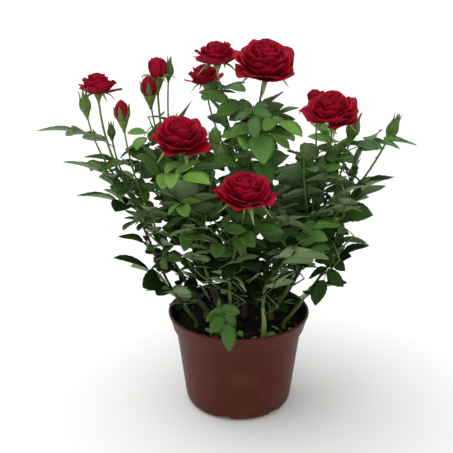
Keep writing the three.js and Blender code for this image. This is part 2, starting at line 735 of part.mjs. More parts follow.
// A bud: an urn-shaped body with a pointed tip on its hip, and three long sepals along it.
function budGeometries(radius) {
  const profile = bud.profile.map(([r, z]) => new THREE.Vector2(r * radius, z * radius));
  const pieces = [turned(profile, bud.facets)];
  for (let i = 0; i < bud.sepals; i++) {
    const sepal = sepalGeometry(radius * bud.sepalLength, radius * bud.sepalWidth);
    sepal.rotateY(radians(-bud.sepalRise)).translate(radius / 2, 0, 0);
    sepal.rotateZ(radians((360 / bud.sepals) * i));
    pieces.push(sepal);
  }
  return pieces;
}

// Where pieces of a mass only touch along an edge, its stems and leaves swell by a hair until none do,
// and where that doesn't part them, one leaf is left off.
function massGeometry(mass) {
  const heads = mass.grown.flatMap((head) => posed(
    head.kind === 'bloom' ? [corollaGeometry(head.radius)] : budGeometries(head.radius),
    head,
  ));
  const allButOne = mass.plans.map((leftOff) => mass.plans.filter((plan) => plan !== leftOff));
  for (const plans of [mass.plans, ...allButOne.reverse()]) {
    for (const swell of [1, 1.02, 1.05]) {
      const stems = mass.stems.map(({ curve, radiusAt }) => (
        limb(curve, (along) => radiusAt(along) * swell, stem.sides, stemSteps(curve))
      ));
      const skin = skinOf(fuse([...stems, ...plans.map((plan) => leafGeometry(plan, swell)), ...heads]));
      if (skin) return skin;
    }
  }
  throw new Error(`${mass.name} has no closed skin`);
}

// The whole plant, worked out before any of it is made solid: limbs first, then the leaves round them.
for (const one of canes) {
  one.curve = caneCurve(one);
  one.radiusAt = caneRadius(one.curve.getLength(), one.radius);
  caneSpheres.push(...spheresAlong(one.curve, one.radiusAt, 1.5));
}
for (const mass of masses) {
  mass.limb = canes.find(({ name }) => name === mass.cane);
  growStems(mass);
  for (const head of mass.grown) {
    const lift = head.kind === 'bloom' ? 0.5 : 0.75;
    const reach = head.kind === 'bloom' ? 1.04 : 1.3;
    headSpheres.push({
      at: head.neck.clone().addScaledVector(head.axis, head.radius * lift),
      radius: head.radius * reach,
    });
  }
}
for (const mass of masses) {
  mass.othersStems = masses.flatMap((other) => (other === mass ? [] : other.stemSpheres));
}
masses.forEach(growLeaves);

// Materials.
const finish = (color, roughness) => new THREE.MeshStandardMaterial({ color, roughness, metalness: 0 });
const terracottaPlastic = finish(0x5e3429, 0.5);
const pottingSoil = finish(0x1b1813, 0.95);
const greenBark = finish(0x4f6230, 0.6);
const roseFoliage = finish(0x35512a, 0.5);

const roseBush = new THREE.Group();
function addPart(name, geometry, material) {
  const part = new THREE.Mesh(geometry, material);
  part.name = name;
  roseBush.add(part);
}
addPart('pot', potGeometry(), terracottaPlastic);
addPart('soil', soilGeometry(), pottingSoil);
for (const { name, curve, radiusAt } of canes) addPart(name, caneGeometry(curve, radiusAt), greenBark);
for (const mass of masses) addPart(mass.name, massGeometry(mass), roseFoliage);

export default roseBush;
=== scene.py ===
# Potted rose bush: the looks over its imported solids.
# Sizes in the dictionaries are millimetres, angles degrees. The leaves grow by the same rule as the solids,
# with more twigs and smaller leaves.
import math
from random import Random

import bpy
import numpy as np
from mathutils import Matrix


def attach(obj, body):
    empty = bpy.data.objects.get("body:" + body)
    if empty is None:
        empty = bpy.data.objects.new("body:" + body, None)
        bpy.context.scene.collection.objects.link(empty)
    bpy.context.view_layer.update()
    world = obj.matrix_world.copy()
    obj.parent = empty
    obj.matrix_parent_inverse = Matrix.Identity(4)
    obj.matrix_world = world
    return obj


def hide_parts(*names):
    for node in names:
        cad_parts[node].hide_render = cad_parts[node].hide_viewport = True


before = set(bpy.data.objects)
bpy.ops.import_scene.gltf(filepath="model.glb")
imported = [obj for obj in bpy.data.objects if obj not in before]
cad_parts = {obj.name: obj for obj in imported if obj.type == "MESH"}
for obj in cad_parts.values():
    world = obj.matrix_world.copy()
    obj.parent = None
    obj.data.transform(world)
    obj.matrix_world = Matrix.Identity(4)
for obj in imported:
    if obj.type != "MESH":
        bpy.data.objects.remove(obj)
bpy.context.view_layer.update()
mm = 0.001
goldenTurn = 137.5
up = np.array([0.0, 0.0, 1.0])
print("frame loaded:", len(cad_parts), "nodes")


# Camera, floor and light.
studio = {
    "imageSide": 453,          # pixels
    "focalLength": 826.5,      # pixels
    "cameraAt": (-10.4, -650, 378.8),
    "pitchDown": 18.74,
    "sensor": 36,
    "floor": "fbfbfa",
    "floorSide": 24000,        # its far edge lies above the picture
    "skyStrength": 0.66,
    # each soft light panel: its strength, the degrees of sky it fills, its tilt from upright about X and Y
    "panels": {"overhead": (1.5, 75, (-8, -20)), "besideCamera": (0.5, 40, (68, -4))},
}


def linearColour(code):
    parts = [int(code[i:i + 2], 16) / 255 for i in (0, 2, 4)]
    return (*[p / 12.92 if p <= 0.04045 else ((p + 0.055) / 1.055) ** 2.4 for p in parts], 1.0)


def setSockets(node, inputs):
    # each socket gets a value of its own or another node's output
    for socket, value in inputs.items():
        if isinstance(value, bpy.types.NodeSocket):
            node.id_data.links.new(value, node.inputs[socket])
        else:
            node.inputs[socket].default_value = value


def addNode(material, kind, inputs=None, **settings):
    node = material.node_tree.nodes.new(kind)
    for name, value in settings.items():
        setattr(node, name, value)
    setSockets(node, inputs or {})
    return node


def newMaterial(name, **sockets):
    # a plain Principled surface with its constant sockets set, and the place that patterns are drawn from
    material = bpy.data.materials.new(name)
    material.use_nodes = True
    shader = material.node_tree.nodes["Principled BSDF"]
    setSockets(shader, {socket.replace("_", " "): value for socket, value in sockets.items()})
    place = addNode(material, "ShaderNodeTexCoord").outputs["Object"]
    return material, shader, place


def setUpStudio():
    scene = bpy.context.scene
    scene.view_settings.view_transform = "Standard"
    camera = bpy.data.objects.new("photoCamera", bpy.data.cameras.new("photoCamera"))
    camera.data.sensor_width = studio["sensor"]
    camera.data.lens = studio["sensor"] * studio["focalLength"] / studio["imageSide"]
    camera.location = [c * mm for c in studio["cameraAt"]]
    camera.rotation_euler = (math.radians(90 - studio["pitchDown"]), 0, 0)
    scene.collection.objects.link(camera)
    scene.camera = camera

    world = bpy.data.worlds.new("softRoom")
    world.use_nodes = True
    sky = world.node_tree.nodes["Background"].inputs
    sky["Color"].default_value = (1, 1, 1, 1)
    sky["Strength"].default_value = studio["skyStrength"]
    scene.world = world

    # one very wide panel overhead, a little to the left, and a weak one by the camera that opens the shade
    for name, (strength, width, tilts) in studio["panels"].items():
        panel = bpy.data.objects.new(name, bpy.data.lights.new(name, "SUN"))
        panel.data.angle = math.radians(width)
        panel.data.energy = strength
        panel.rotation_euler = [math.radians(tilt) for tilt in (*tilts, 0)]
        scene.collection.objects.link(panel)

    side = studio["floorSide"] * mm / 2
    mesh = bpy.data.meshes.new("paleFloor")
    corners = [(-side, -side, 0), (side, -side, 0), (side, side, 0), (-side, side, 0)]
    mesh.from_pydata(corners, [], [(0, 1, 2, 3)])
    floor = bpy.data.objects.new("paleFloor", mesh)
    scene.collection.objects.link(floor)
    # matt painted board: no gloss, so it only takes the pot's soft shadow
    board, _, _ = newMaterial("mattBoard", Base_Color=linearColour(studio["floor"]), Roughness=0.9)
    mesh.materials.append(board)


setUpStudio()
print("studio ready")


# Meshes: a heap gathers points and triangles of one kind, and becomes one piece.
def newHeap():
    return {"points": [], "faces": [], "tints": [], "count": 0}


def lay(heap, points, faces, tints=0):
    points = np.asarray(points, float).reshape(-1, 3)
    faces = np.asarray(faces, int)
    heap["points"].append(points)
    heap["faces"].append(faces + heap["count"])
    heap["tints"].append(np.broadcast_to(np.asarray(tints, int), (len(faces),)))
    heap["count"] += len(points)


def makePiece(name, heap, materials, nodes=(), smooth=True):
    points = np.concatenate(heap["points"]) * mm
    faces = np.concatenate(heap["faces"])
    tints = np.concatenate(heap["tints"])
    mesh = bpy.data.meshes.new(name)
    mesh.from_pydata(points, [], faces.tolist())
    for material in materials:
        mesh.materials.append(material)
    mesh.polygons.foreach_set("material_index", tints.astype(np.int32))
    mesh.polygons.foreach_set("use_smooth", np.full(len(faces), smooth))
    mesh.update()
    piece = bpy.data.objects.new(name, mesh)
    bpy.context.scene.collection.objects.link(piece)
    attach(piece, "root")
    if nodes:
        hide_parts(*nodes)
    print(name, len(faces), "triangles")
    return piece


def triangles(rings):
    # the triangles of a grid of corner numbers, without those that a pointed end folds away
    a, b, c, d = rings[:-1, :-1], rings[1:, :-1], rings[1:, 1:], rings[:-1, 1:]
    pairs = np.stack([np.stack([a, b, c], -1), np.stack([a, c, d], -1)], 2).reshape(-1, 3)
    kept = (pairs[:, 0] != pairs[:, 1]) & (pairs[:, 1] != pairs[:, 2]) & (pairs[:, 0] != pairs[:, 2])
    return pairs[kept]


def ringAngles(count):
    return np.linspace(0, 2 * math.pi, count, endpoint=False)


def circles(radius, height, angles):
    return np.stack([radius * np.cos(angles), radius * np.sin(angles), height + 0 * angles], -1)


def joinedRound(numbers):
    return np.concatenate([numbers, numbers[:, :1]], 1)


def ringMesh(rings, tips):
    # the points and triangles of closed rings, of which the first or the last may be a single point, a tip
    numbers = np.arange(rings.shape[0] * rings.shape[1]).reshape(rings.shape[:2])
    for end in tips:
        numbers[end, :] = numbers[end, 0]
    used, faces = np.unique(triangles(joinedRound(numbers)), return_inverse=True)
    return rings.reshape(-1, 3)[used], faces.reshape(-1, 3)


def lathe(outline, facets):
    # outline is pairs of radius and height
    rings = circles(outline[:, 0][:, None], outline[:, 1][:, None], ringAngles(facets))
    points, faces = ringMesh(rings, [end for end in (0, -1) if outline[end, 0] == 0])
    return points, faces[:, ::-1]


def bladePattern(rows, columns, pointedFoot=True, pointedTip=True):
    # a thin closed blade, whose upper and lower faces share its rim: the corners it uses, its faces, and
    # which of them lie below
    upper = np.arange(rows * columns).reshape(rows, columns)
    if pointedFoot:
        upper[0, :] = upper[0, 0]
    if pointedTip:
        upper[-1, :] = upper[-1, 0]
    lower = upper.copy()
    lower[1:-1, 1:-1] += rows * columns
    above = triangles(upper)
    below = triangles(lower)[:, ::-1]
    used, numbered = np.unique(np.concatenate([above, below]), return_inverse=True)
    under = np.r_[np.zeros(len(above), int), np.ones(len(below), int)]
    return {"used": used, "faces": numbered.reshape(-1, 3), "under": under}


def layBlades(heap, pattern, upper, down, tintUpper, tintUnder):
    # upper is blades x rows x columns x 3, and down leads from each of its points to the lower face
    blades = len(upper)
    both = np.concatenate([upper.reshape(blades, -1, 3), (upper + down).reshape(blades, -1, 3)], 1)
    corners = both[:, pattern["used"]]
    faces = pattern["faces"][None] + (np.arange(blades) * corners.shape[1])[:, None, None]
    above, below = np.reshape(tintUpper, (-1, 1)), np.reshape(tintUnder, (-1, 1))
    tints = np.where(pattern["under"][None] == 1, below, above)
    tints = np.broadcast_to(tints, (blades, len(pattern["faces"])))
    lay(heap, corners, faces.reshape(-1, 3), tints.reshape(-1))


def unit(v):
    return v / np.linalg.norm(v, axis=-1, keepdims=True)


def spinTurn(angle):
    c, s = math.cos(angle), math.sin(angle)
    return np.array([[c, -s, 0], [s, c, 0], [0, 0, 1]])


def aboutUp(points, angle):
    return points @ spinTurn(angle).T


def flatWay(angle, rise):
    # a direction at an angle about +Z, that rises by so much
    return unit(np.array([math.cos(angle), math.sin(angle), rise]))


def evened(points, count):
    steps = np.linalg.norm(np.diff(points, axis=0), axis=1)
    walked = np.r_[0, np.cumsum(steps)]
    shares = np.linspace(0, walked[-1], count)
    return np.column_stack([np.interp(shares, walked, points[:, k]) for k in range(3)])


def lineLength(line):
    return float(np.linalg.norm(np.diff(line, axis=0), axis=1).sum())


def pointAt(line, share):
    at = min(max(share, 0), 1) * (len(line) - 1)
    i = min(int(at), len(line) - 2)
    return line[i] + (line[i + 1] - line[i]) * (at - i)


def headingAt(line, share):
    return unit(pointAt(line, share + 0.03) - pointAt(line, share - 0.03))


def tubeFrames(line):
    tangents = unit(np.gradient(line, axis=0))
    side = np.cross(tangents[0], [0.31, 0.95, 0.02])
    sides = []
    for tangent in tangents:
        side = side - tangent * (side @ tangent)
        side = side / np.linalg.norm(side)
        sides.append(side)
    sides = np.array(sides)
    return sides, np.cross(tangents, sides)


def layTube(heap, line, radii, sides, tint=0, flatFoot=False):
    # radii has one value for each ring, or one for each corner of each ring
    sideways, across = tubeFrames(line)
    angles = ringAngles(sides)
    radii = np.asarray(radii, float)
    if radii.ndim == 1:
        radii = np.repeat(radii[:, None], sides, 1)
    rings = (line[:, None]
             + sideways[:, None] * (np.cos(angles)[None, :, None] * radii[..., None])
             + across[:, None] * (np.sin(angles)[None, :, None] * radii[..., None]))
    if flatFoot:
        rings[0, :, 2] = line[0, 2]
    count = len(line)
    points = np.concatenate([rings.reshape(-1, 3), line[:1], line[-1:]])
    numbers = np.arange(count * sides).reshape(count, sides)
    around = joinedRound(numbers)
    faces = triangles(around)[:, ::-1]
    foot = [(count * sides, around[0, k + 1], around[0, k]) for k in range(sides)]
    tip = [(count * sides + 1, around[-1, k], around[-1, k + 1]) for k in range(sides)]
    lay(heap, points, np.concatenate([faces, foot, tip]), tint)


def smoothStep(low, high, value):
    share = np.clip((value - low) / (high - low), 0, 1)
    return share * share * (3 - 2 * share)


def waves(points, size, seed, layers=5):
    # smooth relief between -1 and 1 over any points: a few sine waves in seeded directions
    dice = Random(seed)
    relief = np.zeros(points.shape[:-1])
    for _ in range(layers):
        way = unit(np.array([dice.uniform(-1, 1) for _ in range(3)]))
        stride = size * dice.uniform(0.6, 1.7)
        relief += np.sin(points @ way * (2 * math.pi / stride) + dice.uniform(0, 2 * math.pi))
    return relief / layers


# Pot: a thin-walled nursery pot with a deep collar, a rounded heel and drain slots.
pot = {
    "height": 84, "rimRadius": 60, "collarHeight": 15.5, "collarFootRadius": 56, "neckRadius": 53.6,
    "heelRadius": 46.4, "heelHeight": 12, "baseRadius": 40, "wall": 1.4, "floor": 2.4, "facets": 144,
    "drainCount": 6, "drainWidth": 11, "drainHeight": 4, "drainDepth": 14, "drainInset": 2.4,
    "drainTurn": -17,
    # the last two colours are painted shade: the inside wall's plastic and its dust patches, both painted
    # near black
    "plastic": "4a1a0f", "dust": "6a4839", "insideShade": "190c08", "insideShadeDust": "271a14",
    "patchSize": 26, "speckSize": 3.2, "rippleSize": 14,
    "sharpAngle": 38, "insideShadeDepth": 8,      # the painted shade on the inside wall reaches this far below the soil's top
}
soilTop = 73


def mouldedPolypropylene(name, code, dust):
    # injection-moulded pot plastic: an even red-brown with a soft gloss, faintly rippled by the mould, with
    # patches and specks of dried soil and hard water
    material, shader, place = newMaterial(name, IOR=1.49, Specular_IOR_Level=0.15)
    patches = addNode(material, "ShaderNodeTexNoise", {
        "Vector": place, "Scale": 1000 / pot["patchSize"], "Detail": 7, "Roughness": 0.62})
    film = addNode(material, "ShaderNodeMapRange", {
        "Value": patches.outputs["Fac"], "From Min": 0.48, "From Max": 0.85, "To Max": 0.3})
    specks = addNode(material, "ShaderNodeTexNoise", {
        "Vector": place, "Scale": 1000 / pot["speckSize"], "Detail": 2, "Roughness": 0.5})
    marks = addNode(material, "ShaderNodeMapRange", {
        "Value": specks.outputs["Fac"], "From Min": 0.7, "From Max": 0.78, "To Max": 0.5})
    dirt = addNode(material, "ShaderNodeMath", {
        0: film.outputs[0], 1: marks.outputs[0]}, operation="MAXIMUM")
    colour = addNode(material, "ShaderNodeMix", {
        0: dirt.outputs[0], 6: linearColour(code), 7: linearColour(dust)}, data_type="RGBA")
    gloss = addNode(material, "ShaderNodeMapRange", {
        "Value": dirt.outputs[0], "To Min": 0.42, "To Max": 0.75})
    ripple = addNode(material, "ShaderNodeTexNoise", {
        "Vector": place, "Scale": 1000 / pot["rippleSize"], "Detail": 3})
    relief = addNode(material, "ShaderNodeBump", {
        "Height": ripple.outputs["Fac"], "Strength": 0.25, "Distance": 0.6 * mm})
    setSockets(shader, {
        "Base Color": colour.outputs[2], "Roughness": gloss.outputs[0], "Normal": relief.outputs["Normal"]})
    return material


def potOutline():
    # the solid's profile: the radius and height of each corner, and how far back its rounding starts
    height, wall, rim = pot["height"], pot["wall"], pot["rimRadius"]
    base, heel, neck, collar = (pot[f"{part}Radius"] for part in ("base", "heel", "neck", "collarFoot"))
    collarFoot = height - pot["collarHeight"]
    outer = [
        (0, 0, 0), (base, 0, 1), (base + 3.4, 1.4, 2), (heel - 1, 5, 3), (heel, pot["heelHeight"], 3),
        (neck, collarFoot, 0.8), (collar, collarFoot + 1, 0.6), (rim - 0.9, height - 3, 0.5),
        (rim, height - 2.2, 0.5), (rim, height, 0.5),
    ]
    inner = [
        (rim - wall - 0.4, height, 0.4), (collar - wall, collarFoot + 2, 0.6),
        (neck - wall, collarFoot, 0.6), (heel - wall, pot["heelHeight"], 2),
        (base, pot["floor"], 2), (0, pot["floor"], 0),
    ]
    corners = outer + inner
    outline = []
    for k, (r, z, rounding) in enumerate(corners):
        here = np.array([r, z])
        if rounding == 0:
            outline.append(here)
            continue
        before, after = np.array(corners[k - 1][:2]), np.array(corners[k + 1][:2])
        inward, onward = before - here, after - here
        cut = min(rounding, 0.45 * np.linalg.norm(inward), 0.45 * np.linalg.norm(onward))
        start, end = here + unit(inward) * cut, here + unit(onward) * cut
        for share in (0, 0.33, 0.67, 1):
            outline.append(start * (1 - share) ** 2 + here * 2 * share * (1 - share) + end * share ** 2)
    return np.array(outline)


def buildPot():
    heap = newHeap()
    lay(heap, *lathe(potOutline(), pot["facets"]))
    plastic = mouldedPolypropylene("mouldedPolypropylene", pot["plastic"], pot["dust"])
    piece = makePiece("potWall", heap, [plastic], ["pot"])
    # the drain slots are cut through the heel by blocks in a ring
    cutters = newHeap()
    for i in range(pot["drainCount"]):
        turn = math.radians(360 / pot["drainCount"] * i + pot["drainTurn"])
        corners = []
        for x, y, z in np.ndindex(2, 2, 2):
            along = (x - 0.5) * pot["drainWidth"]
            out = -pot["heelRadius"] + pot["drainInset"] + (y - 0.5) * pot["drainDepth"]
            corners.append((along * math.cos(turn) - out * math.sin(turn),
                            along * math.sin(turn) + out * math.cos(turn), (2 * z - 1) * pot["drainHeight"]))
        quads = [(0, 1, 3, 2), (4, 6, 7, 5), (0, 4, 5, 1), (2, 3, 7, 6), (0, 2, 6, 4), (1, 5, 7, 3)]
        faces = [half for a, b, c, d in quads for half in ((a, b, c), (a, c, d))]
        lay(cutters, corners, faces)
    mesh = bpy.data.meshes.new("drainCutters")
    mesh.from_pydata(np.concatenate(cutters["points"]) * mm, [], np.concatenate(cutters["faces"]).tolist())
    tool = bpy.data.objects.new("drainCutters", mesh)
    bpy.context.scene.collection.objects.link(tool)
    cut = piece.modifiers.new("drains", "BOOLEAN")
    cut.operation = "DIFFERENCE"
    cut.object = tool
    cut.solver = "EXACT"
    bpy.context.view_layer.update()
    finished = bpy.data.meshes.new_from_object(piece.evaluated_get(bpy.context.evaluated_depsgraph_get()))
    piece.modifiers.clear()
    piece.data = finished
    bpy.data.objects.remove(tool)
    finished.polygons.foreach_set("use_smooth", np.full(len(finished.polygons), True))
    finished.set_sharp_from_angle(angle=math.radians(pot["sharpAngle"]))
    # painted shade: the wall inside, above the soil, is painted near black where the crown shades the inside
    # of the pot
    finished.materials.append(mouldedPolypropylene("shadedInsidePolypropylene", pot["insideShade"], pot["insideShadeDust"]))
    for face in finished.polygons:
        out = face.center.copy()
        out.z = 0
        inward = out.length > 1 * mm and face.normal.dot(out.normalized()) < -0.5
        if inward and face.center.z > (soilTop - pot["insideShadeDepth"]) * mm:
            face.material_index = 1


buildPot()


# Soil: dark peat compost, sunken and crumbly, with crumbs and a few pale grains on it.
soil = {
    "rings": 44, "around": 132, "relief": 1.5, "lumpSize": 12, "grainRelief": 0.7, "grainSize": 3.4,
    "wallGap": 0.6, "calmEdge": 6,          # the relief is lower along the wall
    "crumbs": 620, "crumbSize": (0.6, 2.1), "paleShare": 0.05, "seed": 41,
    "peat": "1b1610", "wetPeat": "0e0c09", "grit": "6f6858", "fibreSize": 2,
}


def wallRadius(z):
    rise = pot["height"] - pot["collarHeight"] - pot["heelHeight"]
    slope = (pot["neckRadius"] - pot["heelRadius"]) / rise
    return pot["heelRadius"] - pot["wall"] + slope * (z - pot["heelHeight"]) - soil["wallGap"]


def soilHeight(points):
    flat = np.array(points, float)
    flat[..., 2] = 0
    rim = wallRadius(soilTop) - np.hypot(flat[..., 0], flat[..., 1])
    calm = smoothStep(0, soil["calmEdge"], rim)
    lumps = waves(flat, soil["lumpSize"], 5) * soil["relief"]
    grains = waves(flat, soil["grainSize"], 6, 7) * soil["grainRelief"]
    return soilTop - 0.6 + (lumps + grains) * (0.35 + 0.65 * calm)


def peatCompost(name, code, wet):
    # peat compost: nearly black when moist, matt, fibrous, drawn with fibres coarse enough to show
    material, shader, place = newMaterial(name, Roughness=0.95, Specular_IOR_Level=0.2)
    fibres = addNode(material, "ShaderNodeTexNoise", {
        "Vector": place, "Scale": 1000 / soil["fibreSize"], "Detail": 8, "Roughness": 0.7})
    colour = addNode(material, "ShaderNodeMix", {
        0: fibres.outputs["Fac"], 6: linearColour(wet), 7: linearColour(code)}, data_type="RGBA")
    relief = addNode(material, "ShaderNodeBump", {
        "Height": fibres.outputs["Fac"], "Strength": 0.7, "Distance": 0.8 * mm})
    setSockets(shader, {"Base Color": colour.outputs[2], "Normal": relief.outputs["Normal"]})
    return material


def buildSoil():
    heap = newHeap()
    radii = wallRadius(soilTop) * np.linspace(0, 1, soil["rings"] + 1) ** 0.8
    angles = ringAngles(soil["around"])
    top = circles(radii[:, None], np.zeros((len(radii), 1)), angles)
    top[..., 2] = soilHeight(top)
    skirt = []
    for z in (soilTop - 5, pot["heelHeight"] + 1, pot["floor"] + 0.1):
        radius = wallRadius(max(z, pot["heelHeight"])) - (8 if z < pot["heelHeight"] else 1)
        skirt.append(circles(radius, z, angles))
    foot = np.zeros((1, len(angles), 3)) + [0, 0, pot["floor"] + 0.1]
    lay(heap, *ringMesh(np.concatenate([top, np.array(skirt), foot]), (0, -1)))
    peat = peatCompost("peatCompost", soil["peat"], soil["wetPeat"])
    makePiece("pottingSoil", heap, [peat], ["soil"])

    # crumbs: jittered grains, with a ring of eight corners, one corner above and one below
    dice = Random(soil["seed"])
    crumbs = newHeap()
    least, most = soil["crumbSize"]
    corners = [(1, 0, 0), (0, 1, 0), (-1, 0, 0), (0, -1, 0), (0.1, 0.1, 1), (0, 0, -1),
               (0.7, 0.7, 0), (-0.7, 0.7, 0), (-0.7, -0.7, 0), (0.7, -0.7, 0)]
    ring = [0, 6, 1, 7, 2, 8, 3, 9]
    edges = list(zip(ring, ring[1:] + ring[:1]))
    faces = [face for a, b in edges for face in ((a, b, 4), (b, a, 5))]
    for _ in range(soil["crumbs"]):
        out = wallRadius(soilTop) * 0.97 * math.sqrt(dice.random())
        turn = dice.uniform(0, 2 * math.pi)
        at = np.array([out * math.cos(turn), out * math.sin(turn), 0])
        size = dice.uniform(0, 1) ** 2.2 * (most - least) + least
        at[2] = soilHeight(at) + size * 0.2
        shape = np.array(corners) * [dice.uniform(0.6, 1.2), dice.uniform(0.6, 1.1), dice.uniform(0.45, 0.9)]
        shape = shape * np.array([[dice.uniform(0.75, 1.2)] for _ in corners]) * size
        shape = aboutUp(shape, dice.uniform(0, 6.3))
        lay(crumbs, shape + at, faces, 1 if dice.random() < soil["paleShare"] else 0)
    grit, _, _ = newMaterial("paleGrit", Base_Color=linearColour(soil["grit"]), Roughness=0.9)
    makePiece("soilCrumbs", crumbs, [peat, grit], smooth=False)


buildSoil()


# The plant's plan, as in its solids: canes, then masses of foliage.
cane = {
    "tipRadius": 1.4, "knee": 0.3, "flare": 0.3, "flareLength": 4, "sides": 12, "ringStep": 1.6,
    "knotStep": 17, "knotSwell": 0.16, "knotLength": 1.6, "ribs": 0.06, "roughness": 0.05, "grainSize": 7,
}
# For each cane: its foot on the soil, a point on its way, its tip, the radius at its foot, and the number of
# its bark: waxy, ripe or fresh.
canes = {
    "cane_front": ((-4, -22), (-5, -28, 88), (-7, -34, 104), 1.9, 0),
    "cane_low_front": ((-20, -34), (-20, -39, 84), (-19, -43, 92), 1.6, 0),
    "cane_front_right": ((20, -40), (20, -39, 90), (19, -37, 102), 2.6, 2),
    "cane_right": ((28, 2), (38, -1, 96), (44, -3, 112), 2.4, 0),
    "cane_far_right": ((35, 16), (46, 14, 100), (58, 11, 126), 2.3, 1),
    "cane_low_right": ((38, -16), (44, -20, 88), (50, -24, 99), 1.8, 0),
    "cane_left": ((-28, 4), (-40, 3, 98), (-54, 2, 124), 2.5, 0),
    "cane_low_left": ((-36, -14), (-41, -19, 88), (-47, -24, 99), 1.8, 0),
    "cane_left_front": ((-14, -12), (-20, -15, 100), (-25, -18, 118), 2.2, 1),
    "cane_left_back": ((-15, 14), (-24, 16, 102), (-33, 17, 124), 2.2, 0),
    "cane_centre": ((5, 6), (4, 8, 100), (3, 9, 122), 2.6, 1),
    "cane_back_right": ((18, 26), (27, 34, 98), (36, 43, 116), 2.2, 0),
    "cane_back_left": ((-20, 30), (-28, 38, 98), (-37, 47, 115), 2.2, 1),
    "cane_back": ((2, 36), (3, 46, 94), (4, 57, 110), 2.1, 0),
}


def bloomHead(at, width, lean, branchAt=None, openness=1.0, petals=30):
    return {"kind": "bloom", "at": at, "width": width, "lean": lean, "from": branchAt,
            "open": openness, "petals": petals}


def budHead(at, width, lean, branchAt=None, red=0.5, sepals="upright", half=None, tall=1.0):
    # half is how far a bud that shows its petals has opened, and tall stretches its outline
    return {"kind": "bud", "at": at, "width": width, "lean": lean, "from": branchAt,
            "red": red, "sepals": sepals, "half": half, "tall": tall}


